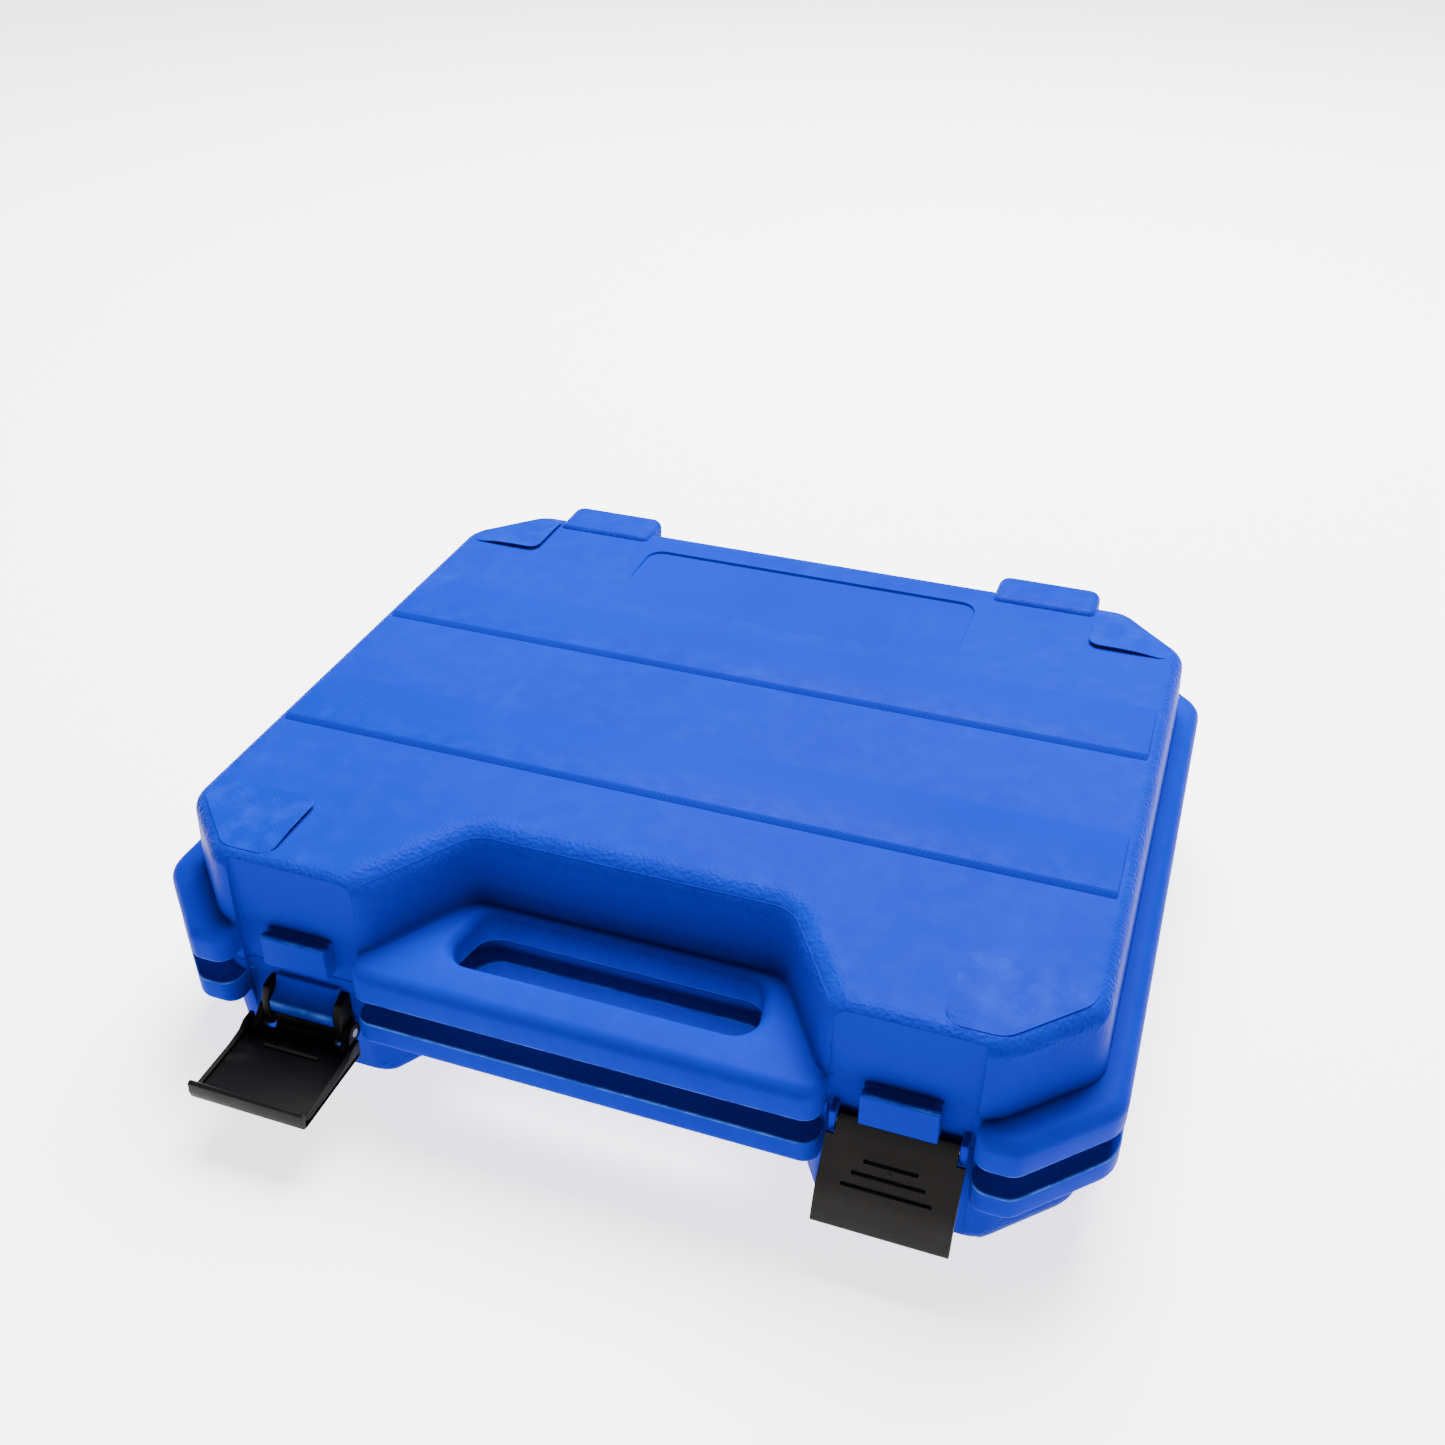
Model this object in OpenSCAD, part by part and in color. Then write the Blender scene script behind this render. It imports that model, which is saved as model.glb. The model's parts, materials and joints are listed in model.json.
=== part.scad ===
// Half-inch drive socket set in a blow-moulded carry case.
// +X is the right-hand end seen from the carry handle, +Y is the hinge side, +Z is up.
// The origin is on the ground under the middle of the case's flange outline.

/* [Case] */
// Width of the case over its flanges
case_w = 330; // [324:1:400]
// Depth of the case over its flanges, front to hinge side
case_d = 277; // [270:1:340]
// Length cut from each corner of the outline, along each side
corner_cut = 27; // [20:1:34]
// Radius where a side turns into a corner cut
corner_r = 14; // [8:1:18]
// Height of the base, from the ground to the top of its flange
base_h = 40; // [38:1:52]
// Height of the shadow groove between the two flanges
groove_h = 9.5; // [8:0.5:12]
// Height of the lid, from the lower edge of its flange to its top panel
lid_h = 40.5; // [38:1:60]
// How far the flanges stand out from the bodies
flange_out = 8.6; // [7:0.2:11]
// Thickness of the base's flange
base_flange_h = 10; // [8:1:14]
// Thickness of the lid's flange
lid_flange_h = 12; // [9:1:14]
// Wall thickness of both shells
wall = 3; // [2.2:0.2:4]
// Height of the raised strips and corner pads on the lid
relief_h = 1; // [0.6:0.1:1.6]
// Clearance between the lid's rim and the base's rim
rim_gap = 0.4; // [0.3:0.1:0.8]

/* [Handle] */
// Half width of the grip's front face
grip_half_w = 77.7; // [70:1:82]
// Depth of the grip bar, front to back
grip_d = 17.6; // [14:0.5:22]
// Front-to-back size of the finger opening
finger_d = 24; // [20:1:28]
// Half width of the finger opening at its front
finger_half_w = 54; // [46:1:57]
// Distance from the flange's front face to the top of the handle recess wall
recess_d = 52; // [48:1:56]
// Half width of the recess at its rear wall
recess_half_w = 59; // [57:1:64]

/* [Latches] */
// Distance of each latch's middle from the case's middle
latch_x = 102; // [98:1:106]
// Width of a latch plate
latch_w = 42.5; // [36:0.5:43]
// Width of a latch recess
latch_slot_w = 46; // [44:0.5:47]
// Distance from the flange's front face to the wall of a latch recess
latch_wall_d = 11.4; // [10.6:0.1:12]
// Thickness of a latch plate
latch_t = 2.4; // [1.8:0.1:3]
// Width of the lid's catches and of the base's hooks
catch_w = 24; // [20:0.5:25]
// Height of the lid's catches
catch_h = 13.5; // [10:0.5:14]
// How far the catches stand out from the recess wall
catch_out = 6; // [5:0.2:6.4]
// Radius of the latch pins
latch_pin_r = 1.5; // [1.2:0.1:1.8]
// Height of the left latch's pin above the ground
left_pin_z = 26; // [24:0.5:27]
// Angle that the right latch stands out from the vertical at rest
right_lean = 37; // [32:1:40]

/* [Hinge] */
// Width of a hinge, knuckles together
hinge_w = 42; // [36:1:48]
// Distance of each hinge's middle from the case's middle
hinge_x = 97; // [90:1:110]
// Distance of the hinge axis behind the flanges
hinge_back = 3; // [2.8:0.1:4]
// Outer radius of the knuckles
knuckle_r = 5; // [4.4:0.1:5.2]
// Radius of the hinge pins
hinge_pin_r = 2; // [1.5:0.1:2.4]
// Gap between neighbouring knuckles
knuckle_gap = 0.4; // [0.3:0.1:0.8]
// Radial running clearance of all the pins
pin_clear = 0.05; // [0.02:0.01:0.1]

/* [Tray and foam] */
// Height of the tray's top face above the ground
tray_top = 30; // [28:0.5:30.5]
// Height of the lying tools' axes above the ground
tool_z = 38; // [37:0.5:40]
// Clearance between the tray and the shell
tray_clear = 0.5; // [0.3:0.1:1]
// Height of the lid foam's lower face above the ground
foam_z = 62; // [60:0.5:66]
// Clearance of each tool in its pocket
pocket_clear = 0.5; // [0.35:0.05:0.8]
// Height of the floor of the upright sockets' pockets
socket_floor = 10; // [6:0.5:12]

/* [Sockets] */
// Across-flats sizes of the small sockets, in the rear row
small_sizes = [10, 11, 12, 13, 14, 15, 16, 17, 18, 19];
// Across-flats sizes of the large sockets, in the second row
large_sizes = [20, 21, 22, 24, 27, 30, 32];
// Across-flats sizes of the two spark plug sockets
plug_sizes = [16, 21];
// Length of a small socket
socket_h = 38; // [34:1:42]
// Length of a spark plug socket
plug_h = 62; // [56:1:64]
// Side of the drive square
drive_s = 12.7; // [12.7]
// Clearance of a square drive in its hole, on each side
drive_clear = 0.15; // [0.1:0.05:0.3]
// Depth of a drive hole
drive_depth = 15; // [13:1:17]

/* [Bars] */
// Length of the long extension bar
long_bar_l = 250; // [200:5:255]
// Length of the short extension bar
short_bar_l = 125; // [75:5:130]
// Shank radius of the extension bars
bar_r = 7; // [6:0.5:8]
// Radius of the extension bars' socket ends
bar_head_r = 11; // [10:0.5:12]
// Length of the sliding bar of the T-handle
tee_l = 250; // [200:5:255]
// Radius of the sliding bar
tee_r = 6.2; // [5.6:0.1:7]

/* [Ratchet] */
// Distance from the drive axis to the end of the handle
ratchet_l = 202; // [180:2:206]
// Radius of the ratchet's head
head_r = 18.5; // [18:0.5:20]
// Thickness of the ratchet's head
head_t = 16; // [15:0.5:18]
// Outer radius of the ratchet gear
gear_r = 12.9; // [12:0.1:13.1]
// Number of teeth on the ratchet gear
gear_teeth = 36; // [24:1:48]
// Radius of the handle shank
shank_r = 6.5; // [5.5:0.5:7]
// Length of the rubber grip
grip_l = 112; // [90:2:116]
// Radius of the rubber grip
grip_r = 10.5; // [9:0.5:11]

/* [Universal joint] */
// Length from the cross to either end
uj_l = 34; // [32:1:36]
// Outer radius of the yokes
uj_r = 12.5; // [12:0.5:13]
// Radius of the cross's pins
uj_pin_r = 2.6; // [2.2:0.1:3]

/* [Hidden] */
$fn = 64;
cut = 1;                            // how far a cutter runs past a face
blue = "royalblue";
front = -case_d / 2;
back = case_d / 2;
body_front = front + flange_out;
slot_wall = front + latch_wall_d;
base_flange_z = base_h - base_flange_h;
lid_z = base_h + groove_h;
lid_top = lid_z + lid_h;
part_z = base_h + groove_h / 2;     // the plane where the two rims meet
catch_z = lid_z - 0.7;
catch_front = slot_wall - catch_out;
hook_out = 8.2;                     // how far a base hook stands out from its wall
hook_front = slot_wall - hook_out;
hook_low = left_pin_z + 2.8;
hook_top = base_h + 1;
hook_scoop_r = 9;
hinge_y = back + hinge_back;
third = hinge_w / 3;
left_pin_y = slot_wall - 4.8;
right_pin_y = slot_wall - 2.8;
right_pin_z = catch_z - 3;
bracket_in = catch_w / 2 + 0.4;
bracket_t = 2.8;
ear_in = bracket_in + bracket_t + 0.3;
ear_t = 2.6;
ear_r = 3.6;
lip_t = 2.2;
lip_gap = 0.35;                     // clearance of the closed lip over the catch
lug_t = 2.2;
lug_gap = 0.3;
lug_drop = 2.9;                     // half height of the lugs about the pin
barrel_r = 2.6;
barrel_l = latch_w - 5.4;           // length of the right latch's barrel, between the lugs
strip_half_w = case_w / 2 - 15.5;
strip_d = 34.5;
strip_fronts = [front + 83.9, front + 161.9];
label_half_w = 71.5;
label_rear = front + 250.3;
label_d = 45;
label_r = 7;
label_depth = 0.9;
pad_w = 40;
pad_d = 33;
all_sizes = concat(small_sizes, large_sizes);
row_gap = 5.6;
small_y = back - 38.5;
large_y = back - 78.5;
long_y = back - 114.5;
tee_y = back - 139.5;
short_y = back - 173.5;
ratchet_y = front + 68.5;
ratchet_x = case_w / 2 - 47;
plug_y = front + 28.5;
plug_x = [-case_w / 2 + 35, -case_w / 2 + 63];
bar_head_l = 24;
bar_collar_r = bar_r + 2;
saddle_x = [-82, 98];
saddle_w = 9;
saddle_h = 6.5;
tee_head_r = 12.5;
tee_head_l = 30;
tee_head_x = -tee_l / 2 + 34;
tee_travel = 84;
tee_square_l = 16;
short_x = -case_w / 2 + 25;
uj_x = 44;
uj_swing = 20;
uj_tilt = 12;
uj_well = 27;
uj_cheek = 4.6;
uj_cheek_w = 12.4;
uj_boss_r = 6.6;
neck_r = 9;
boss_r = 5;
boss_h = 5.6;
handle_drop = 1;                    // how far the ratchet's axis lies below the other tools'
head_low = tool_z - head_t / 2 - handle_drop;
head_top = head_low + head_t;
cover_t = 1.6;
cover_r = head_r - 2.4;
screw_ring_r = cover_r - 1.5;
screw_r = 0.8;
gear_low = head_low + 3.2;
gear_h = head_top - cover_t - gear_low - 1.4;
cavity_r = gear_r + 0.5;
pawl_x = -19.5;
pawl_r = 5.2;
pawl_pocket_r = 5.8;
lever_shaft_r = 2.2;
button_r = 3;
square_l = 15;
neck_half_w = 11;
neck_l = 38;
wrench_end_x = ratchet_x - ratchet_l;

function socket_od(s) = max(22, 1.32 * s + 0.9);
function socket_len(s) = s < 24 ? socket_h : socket_h + (s - 22) * 0.6;
// width of the first n sockets of a row, with the gaps after them
function row_span(sizes, n) = n == 0 ? 0 : row_span(sizes, n - 1) + socket_od(sizes[n - 1]) + row_gap;
function row_x(sizes, i) =
    row_span(sizes, i) + socket_od(sizes[i]) / 2 - (row_span(sizes, len(sizes)) - row_gap) / 2;
function socket_name(s) = str("socket_", s, "mm");

// ---------- outlines ----------

function unit(v) = v / norm(v);

// Arc of radius r, in n steps, that rounds the corner b between a and c
function corner_arc(a, b, c, r, n) =
    let (u = unit(a - b),
         v = unit(c - b),
         half = acos(u * v) / 2,
         middle = b + unit(u + v) * r / sin(half),
         start = b + u * r / tan(half) - middle,
         end = b + v * r / tan(half) - middle,
         first = atan2(start.y, start.x),
         turn = (atan2(end.y, end.x) - first + 540) % 360 - 180)
    [for (i = [0 : n]) middle + r * [cos(first + turn * i / n), sin(first + turn * i / n)]];

// The outline p with each of its corners rounded to r
function rounded(p, r, n = 4) =
    let (m = len(p))
    [for (i = [0 : m - 1]) each corner_arc(p[(i + m - 1) % m], p[i], p[(i + 1) % m], r, n)];

// Rectangle of w by d with cut corners, each turn rounded to r
module cut_outline(w, d, c, r) {
    polygon(rounded([
        [-w / 2 + c, -d / 2], [w / 2 - c, -d / 2], [w / 2, -d / 2 + c], [w / 2, d / 2 - c],
        [w / 2 - c, d / 2], [-w / 2 + c, d / 2], [-w / 2, d / 2 - c], [-w / 2, -d / 2 + c]], r));
}

// Handle recess seen from above, grown by g on every side
module recess_outline(g) {
    half_w = grip_half_w + 3 + g;
    rear = front + recess_d + g;
    turn_y = front + grip_d;
    polygon(concat(
        [[-half_w, front - cut], [half_w, front - cut]],
        corner_arc([half_w, front - cut], [half_w, turn_y], [recess_half_w + g, rear], 8, 3),
        corner_arc([half_w, turn_y], [recess_half_w + g, rear], [-recess_half_w - g, rear], 8, 4),
        corner_arc([recess_half_w + g, rear], [-recess_half_w - g, rear], [-half_w, turn_y], 8, 4),
        corner_arc([-recess_half_w - g, rear], [-half_w, turn_y], [-half_w, front - cut], 8, 3)));
}

// The two latch recesses seen from above, grown by g
module latch_outline(g) {
    for (sx = [-1, 1])
        translate([sx * latch_x - latch_slot_w / 2 - g, front - cut])
            square([latch_slot_w + 2 * g, latch_wall_d + cut + g]);
}

// Extrudes a side view, drawn as [y, z], to a width of w about the middle
module along_x(w) {
    translate([-w / 2, 0, 0]) rotate([90, 0, 90]) linear_extrude(w) children();
}

// Outline of the deep bodies, drawn in by g
module body_outline(g) {
    difference() {
        cut_outline(case_w - 2 * (flange_out + g), case_d - 2 * (flange_out + g),
                    corner_cut - 0.586 * (flange_out + g) + flange_out / 2, corner_r - g);
        recess_outline(g);
        latch_outline(g);
    }
}

// Finger opening between the grip and the body
module finger_outline() {
    rear = front + grip_d + finger_d;
    rear_half_w = finger_half_w - 4.5;
    polygon(rounded([
        [-finger_half_w, front + grip_d], [finger_half_w, front + grip_d],
        [rear_half_w, rear], [-rear_half_w, rear]], 7));
}

// Outline of either flange, with the grip and its finger opening
module flange_outline() {
    difference() {
        cut_outline(case_w, case_d, corner_cut, corner_r);
        finger_outline();
        latch_outline(0);
    }
}

// ---------- case ----------

// One knuckle of length l whose middle is at x
module knuckle(x, l) {
    translate([x - l / 2, hinge_y, part_z]) rotate([0, 90, 0]) cylinder(h = l, r = knuckle_r);
}

// Bore of both hinges
module hinge_bores(r) {
    for (sx = [-1, 1])
        translate([sx * hinge_x - hinge_w / 2 - cut, hinge_y, part_z]) rotate([0, 90, 0])
            cylinder(h = hinge_w + 2 * cut, r = r);
}

// Hook that the right latch snaps under, and that the left latch's bracket stands beside
module base_hook(x) {
    difference() {
        translate([x - catch_w / 2, hook_front, hook_low])
            cube([catch_w, hook_out + wall, hook_top - hook_low]);
        translate([x - catch_w / 2 - cut, hook_front - 2.6, hook_top + 1.5]) rotate([0, 90, 0])
            cylinder(h = catch_w + 2 * cut, r = hook_scoop_r);
    }
}

module base_shell() {
    color(blue) difference() {
        union() {
            linear_extrude(part_z - rim_gap / 2) body_outline(0);
            translate([0, 0, base_flange_z]) linear_extrude(base_flange_h) flange_outline();
            for (sx = [-1, 1]) {
                base_hook(sx * latch_x);
                for (side = [-1, 1]) {
                    knuckle(sx * hinge_x + side * third, third - knuckle_gap);
                    translate([sx * hinge_x + side * third - (third - knuckle_gap) / 2,
                               back - flange_out, part_z - 10])
                        cube([third - knuckle_gap, flange_out + hinge_back, 9.4]);
                }
            }
        }
        translate([0, 0, wall]) linear_extrude(part_z) body_outline(wall);
        hinge_bores(hinge_pin_r + pin_clear);
    }
}

// Catch on the lid: a block whose top is hollowed behind a raised front lip
module lid_catch(x) {
    groove_d = 2.2;
    difference() {
        translate([x - catch_w / 2, catch_front, catch_z]) cube([catch_w, catch_out + wall, catch_h]);
        translate([x - catch_w / 2 + 2, catch_front + 1.6, catch_z + catch_h - 1.2])
            cube([catch_w - 4, groove_d, 1.2 + cut]);
    }
}

// Four corner pads, standing a little above the top panel
module corner_pads() {
    translate([0, 0, lid_top - cut]) linear_extrude(relief_h + cut) intersection() {
        cut_outline(case_w - 2 * flange_out - 6, case_d - 2 * flange_out - 6, corner_cut, corner_r - 3);
        for (sx = [-1, 1], sy = [-1, 1])
            translate([sx * (case_w / 2 - flange_out - pad_w / 2), sy * (case_d / 2 - flange_out - pad_d / 2)])
                square([pad_w, pad_d], center = true);
    }
}

module label_recess() {
    low = label_rear - label_d;
    translate([0, 0, lid_top - label_depth]) linear_extrude(label_depth + cut)
        polygon(rounded([
            [-label_half_w, low], [label_half_w, low],
            [label_half_w, label_rear], [-label_half_w, label_rear]], label_r));
}

module lid_shell() {
    color(blue) difference() {
        union() {
            translate([0, 0, part_z + rim_gap / 2])
                linear_extrude(lid_top - part_z - rim_gap / 2) body_outline(0);
            translate([0, 0, lid_z]) linear_extrude(lid_flange_h) flange_outline();
            corner_pads();
            for (y = strip_fronts)
                translate([-strip_half_w, y, lid_top - cut])
                    cube([2 * strip_half_w, strip_d, relief_h + cut]);
            for (sx = [-1, 1]) {
                lid_catch(sx * latch_x);
                translate([sx * hinge_x - hinge_w / 2, back - flange_out - wall, lid_z])
                    cube([hinge_w, flange_out + wall, lid_top - lid_z + relief_h]);
                knuckle(sx * hinge_x, third - knuckle_gap);
                translate([sx * hinge_x - (third - knuckle_gap) / 2, back - flange_out, part_z + 0.6])
                    cube([third - knuckle_gap, flange_out + hinge_back, 10]);
            }
            // lugs that carry the right latch's pin
            for (side = [-1, 1])
                translate([latch_x + side * (barrel_l / 2 + lug_gap + lug_t / 2), right_pin_y, right_pin_z])
                    along_x(lug_t) polygon([
                        [-lug_drop, -lug_drop], [slot_wall - right_pin_y, -lug_drop],
                        [slot_wall - right_pin_y, part_z + 1 - right_pin_z],
                        [slot_wall - right_pin_y + 1, part_z + 1 - right_pin_z],
                        [slot_wall - right_pin_y + 1, 5], [-lug_drop, 5]]);
        }
        translate([0, 0, part_z - cut]) linear_extrude(lid_top - part_z + cut - wall) body_outline(wall);
        label_recess();
        hinge_bores(hinge_pin_r + pin_clear);
        translate([latch_x, right_pin_y, right_pin_z]) rotate([0, 90, 0])
            cylinder(h = latch_slot_w, r = latch_pin_r + pin_clear, center = true);
    }
}

module hinge_pins() {
    color("silver")
        for (sx = [-1, 1])
            translate([sx * hinge_x - hinge_w / 2, hinge_y, part_z]) rotate([0, 90, 0])
                cylinder(h = hinge_w, r = hinge_pin_r);
}

// ---------- latches ----------

// Bracket whose posts stand either side of the left hook and carry the pin
module latch_left_bracket() {
    plate_t = 1.2;
    post_top = base_h - 1;
    post_low = left_pin_z - ear_r;
    color("black") difference() {
        union() {
            for (side = [-1, 1])
                translate([-latch_x + side * (bracket_in + bracket_t / 2) - bracket_t / 2,
                           left_pin_y - ear_r, post_low])
                    cube([bracket_t, slot_wall - left_pin_y + ear_r, post_top - post_low]);
            translate([-latch_x - bracket_in - cut, slot_wall - plate_t, post_low])
                cube([2 * (bracket_in + cut), plate_t, hook_low - post_low - 0.3]);
        }
        translate([-latch_x, left_pin_y, left_pin_z]) rotate([0, 90, 0])
            cylinder(h = latch_w, r = latch_pin_r + pin_clear, center = true);
    }
}

module latch_left_pin() {
    color("silver") translate([-latch_x, left_pin_y, left_pin_z]) rotate([0, 90, 0])
        cylinder(h = 2 * (ear_in + ear_t), r = latch_pin_r, center = true);
}

// Left latch, swung open: ears on the pin, a plate with side walls, and a curled lip at its end
module latch_left() {
    plate_in = hook_front - 0.6;            // where the plate's inner face stands once closed
    plate_top = left_pin_z - (left_pin_y - plate_in);
    plate_low = plate_top - latch_t;
    reach = catch_z + catch_h + lip_gap - left_pin_z;
    plate_end = left_pin_y - reach - lip_t;
    lip_h = catch_front + 2.4 - plate_in;
    side_t = 2;
    ear_l = 8;
    rib_y = left_pin_y - 14;
    color("black") difference() {
        union() {
            translate([-latch_x - latch_w / 2, plate_end, plate_low])
                cube([latch_w, reach + lip_t - ear_r - 1, latch_t]);
            translate([-latch_x - latch_w / 2, plate_end, plate_low]) cube([latch_w, lip_t, latch_t + lip_h]);
            for (side = [-1, 1]) {
                translate([-latch_x + side * (latch_w - side_t) / 2, 0, 0]) along_x(side_t)
                    polygon([
                        [plate_end, plate_low], [left_pin_y - ear_r, plate_low],
                        [left_pin_y - ear_r, plate_top + 5], [left_pin_y - ear_l, plate_top + 4],
                        [left_pin_y - 2 * ear_l, plate_top + 1.4], [plate_end, plate_top + 1.4]]);
                translate([-latch_x + side * (ear_in + ear_t / 2), 0, 0]) {
                    translate([0, left_pin_y, left_pin_z]) rotate([0, 90, 0])
                        cylinder(h = ear_t, r = ear_r, center = true);
                    translate([-ear_t / 2, left_pin_y - ear_l, plate_low])
                        cube([ear_t, ear_l, left_pin_z - plate_low]);
                }
            }
            translate([-latch_x - 10, rib_y, plate_top - cut]) cube([20, 2, cut + 1]);
        }
        translate([-latch_x, left_pin_y, left_pin_z]) rotate([0, 90, 0])
            cylinder(h = latch_w + 2 * cut, r = latch_pin_r + pin_clear, center = true);
    }
}

// Right latch, on the pin under the lid's catch: a plate with three finger grooves, then a
// steeper end. The rib inside it snaps under the base hook.
module latch_right() {
    bend_z = -21;
    tip_z = -32.1;
    tip_y = 3;
    rib_z = -17.9;
    rib_out = 4.2;
    groove_w = 1;
    notch_w = (latch_w - barrel_l) / 2;
    color("black") translate([latch_x, right_pin_y, right_pin_z]) rotate([-right_lean, 0, 0]) difference() {
        union() {
            rotate([0, 90, 0]) cylinder(h = barrel_l, r = barrel_r, center = true);
            along_x(latch_w) polygon([
                [0, 0], [-latch_t, 0], [-latch_t, bend_z - 0.4], [tip_y - latch_t, tip_z],
                [tip_y, tip_z], [0, bend_z]]);
            along_x(latch_w - 22) polygon([[-1, rib_z], [rib_out, rib_z], [rib_out, rib_z - 1.2], [-1, rib_z - 2.4]]);
        }
        for (side = [-1, 1])
            translate([side * (latch_w - notch_w + cut) / 2, 0, 0])
                cube([notch_w + cut, 4 * barrel_r, 3 * lug_drop + 1], center = true);
        for (i = [0 : 2])
            translate([-5 - 4 * i, -latch_t - cut, -9.4 - 4 * i]) cube([10 + 8 * i, cut + 0.6, groove_w]);
        rotate([0, 90, 0]) cylinder(h = latch_w + 2 * cut, r = latch_pin_r + pin_clear, center = true);
    }
}

module latch_right_pin() {
    color("silver") translate([latch_x, right_pin_y, right_pin_z]) rotate([0, 90, 0])
        cylinder(h = barrel_l + 2 * (lug_gap + lug_t), r = latch_pin_r, center = true);
}

// ---------- tray and foam ----------

// Pocket for a tool that lies along X: a half-round trough, open to the top
module trough(x0, x1, y, r) {
    c = r + pocket_clear;
    translate([x0 - pocket_clear, y, tool_z]) rotate([0, 90, 0])
        cylinder(h = x1 - x0 + 2 * pocket_clear, r = c);
    translate([x0 - pocket_clear, y - c, tool_z]) cube([x1 - x0 + 2 * pocket_clear, 2 * c, c]);
}

// Pocket for an upright socket
module well(x, y, r) {
    translate([x, y, socket_floor]) cylinder(h = tray_top, r = r + pocket_clear);
}

module socket_tray() {
    finger_w = 22;
    color("dimgray") difference() {
        union() {
            translate([0, 0, wall + tray_clear]) linear_extrude(tray_top - wall - tray_clear)
                body_outline(wall + tray_clear);
            // ribs that cradle the three bars
            for (x = saddle_x)
                translate([x - saddle_w / 2, short_y - bar_head_r - 4, tray_top - cut])
                    cube([saddle_w, long_y - short_y + 2 * bar_head_r + 8, saddle_h + cut]);
        }
        for (i = [0 : len(small_sizes) - 1])
            well(row_x(small_sizes, i), small_y, socket_od(small_sizes[i]) / 2);
        for (i = [0 : len(large_sizes) - 1])
            well(row_x(large_sizes, i), large_y, socket_od(large_sizes[i]) / 2);
        trough(-long_bar_l / 2, bar_head_l - long_bar_l / 2 + 6, long_y, bar_head_r);
        trough(-long_bar_l / 2, long_bar_l / 2, long_y, bar_collar_r);
        trough(-tee_l / 2 - 4, tee_l / 2 + 4, tee_y, tee_r);
        // path of the sliding head
        trough(tee_head_x - tee_head_l / 2, tee_head_x + tee_head_l / 2 + tee_travel, tee_y, tee_head_r);
        translate([tee_head_x - drive_s / 2 - 1, tee_y - drive_s / 2 - 1, tool_z - tee_head_r - tee_square_l - 1])
            cube([drive_s + 2 + tee_travel, drive_s + 2, tee_square_l + 4]);
        trough(short_x, short_x + bar_head_l + 6, short_y, bar_head_r);
        trough(short_x, short_x + short_bar_l, short_y, bar_collar_r);
        // finger well across the bars
        translate([-finger_w / 2 - 60, short_y - bar_head_r - 2, tool_z - bar_head_r - 4])
            cube([finger_w, long_y - short_y + 2 * bar_head_r + 4, tray_top]);
        // well that lets the universal joint bend
        trough(uj_x - uj_l, uj_x, short_y, uj_r);
        translate([uj_x - 4, short_y - uj_well, tool_z - uj_r - 12])
            cube([uj_l + 12, 2 * uj_well - 1, tray_top]);
        for (i = [0, 1])
            translate([plug_x[i], plug_y, tool_z]) rotate([0, 0, 90]) translate([0, 0, -tool_z])
                trough(0, plug_h, 0, socket_od(plug_sizes[i]) / 2);
        ratchet_pocket();
    }
}

module ratchet_pocket() {
    translate([ratchet_x, ratchet_y, head_low - pocket_clear])
        cylinder(h = tray_top, r = head_r + pocket_clear);
    translate([ratchet_x, ratchet_y, head_low - square_l - 2]) cylinder(h = square_l + 4, r = drive_s / 2 * 1.5 + 1);
    translate([ratchet_x - neck_l, ratchet_y - neck_half_w - pocket_clear, head_low - pocket_clear])
        cube([neck_l, 2 * (neck_half_w + pocket_clear), tray_top]);
    translate([0, 0, -handle_drop]) trough(wrench_end_x, ratchet_x - neck_l, ratchet_y, grip_r);
}

module lid_foam() {
    color("gray") translate([0, 0, foam_z]) linear_extrude(lid_top - wall - foam_z)
        body_outline(wall + tray_clear);
}

// ---------- sockets ----------

// Twelve-point opening of a socket for the across-flats size s
module bi_hex(s, h) {
    r = (s + 0.3) / 2 / cos(30);
    for (a = [0, 30]) rotate([0, 0, a]) cylinder(h = h, r = r, $fn = 6);
}

// Socket standing on its drive end
module socket(s, l) {
    od = socket_od(s);
    low_r = max(11, od / 2 * 0.92);
    depth = min(l - drive_depth - 2, 0.62 * s + 5);
    difference() {
        union() {
            cylinder(h = l * 0.48, r = low_r);
            translate([0, 0, l * 0.48]) cylinder(h = 2, r1 = low_r, r2 = od / 2);
            translate([0, 0, l * 0.48 + 2]) cylinder(h = l - l * 0.48 - 2, r = od / 2);
        }
        translate([0, 0, l - depth]) bi_hex(s, depth + cut);
        translate([0, 0, -cut]) linear_extrude(drive_depth + cut)
            square(drive_s + 2 * drive_clear, center = true);
        translate([0, 0, drive_depth - cut]) cylinder(h = l - drive_depth, r = drive_s * 0.36);
    }
}

module small_socket(i) {
    color("silver") translate([row_x(small_sizes, i), small_y, socket_floor])
        socket(small_sizes[i], socket_len(small_sizes[i]));
}

module large_socket(i) {
    color("silver") translate([row_x(large_sizes, i), large_y, socket_floor])
        socket(large_sizes[i], socket_len(large_sizes[i]));
}

// Places a spark plug socket on its side, its open end to the rear
module plug_place(i) {
    translate([plug_x[i], plug_y, tool_z]) rotate([-90, 0, 0]) children();
}

module plug_socket(i) {
    s = plug_sizes[i];
    od = socket_od(s);
    color("silver") plug_place(i) difference() {
        cylinder(h = plug_h, r = od / 2);
        translate([0, 0, plug_h - 18]) cylinder(h = 18 + cut, r = (s + 0.3) / 2 / cos(30), $fn = 6);
        translate([0, 0, -cut]) linear_extrude(drive_depth + cut)
            square(drive_s + 2 * drive_clear, center = true);
        translate([0, 0, drive_depth - cut]) cylinder(h = plug_h - drive_depth, r = s / 2);
    }
}

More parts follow.
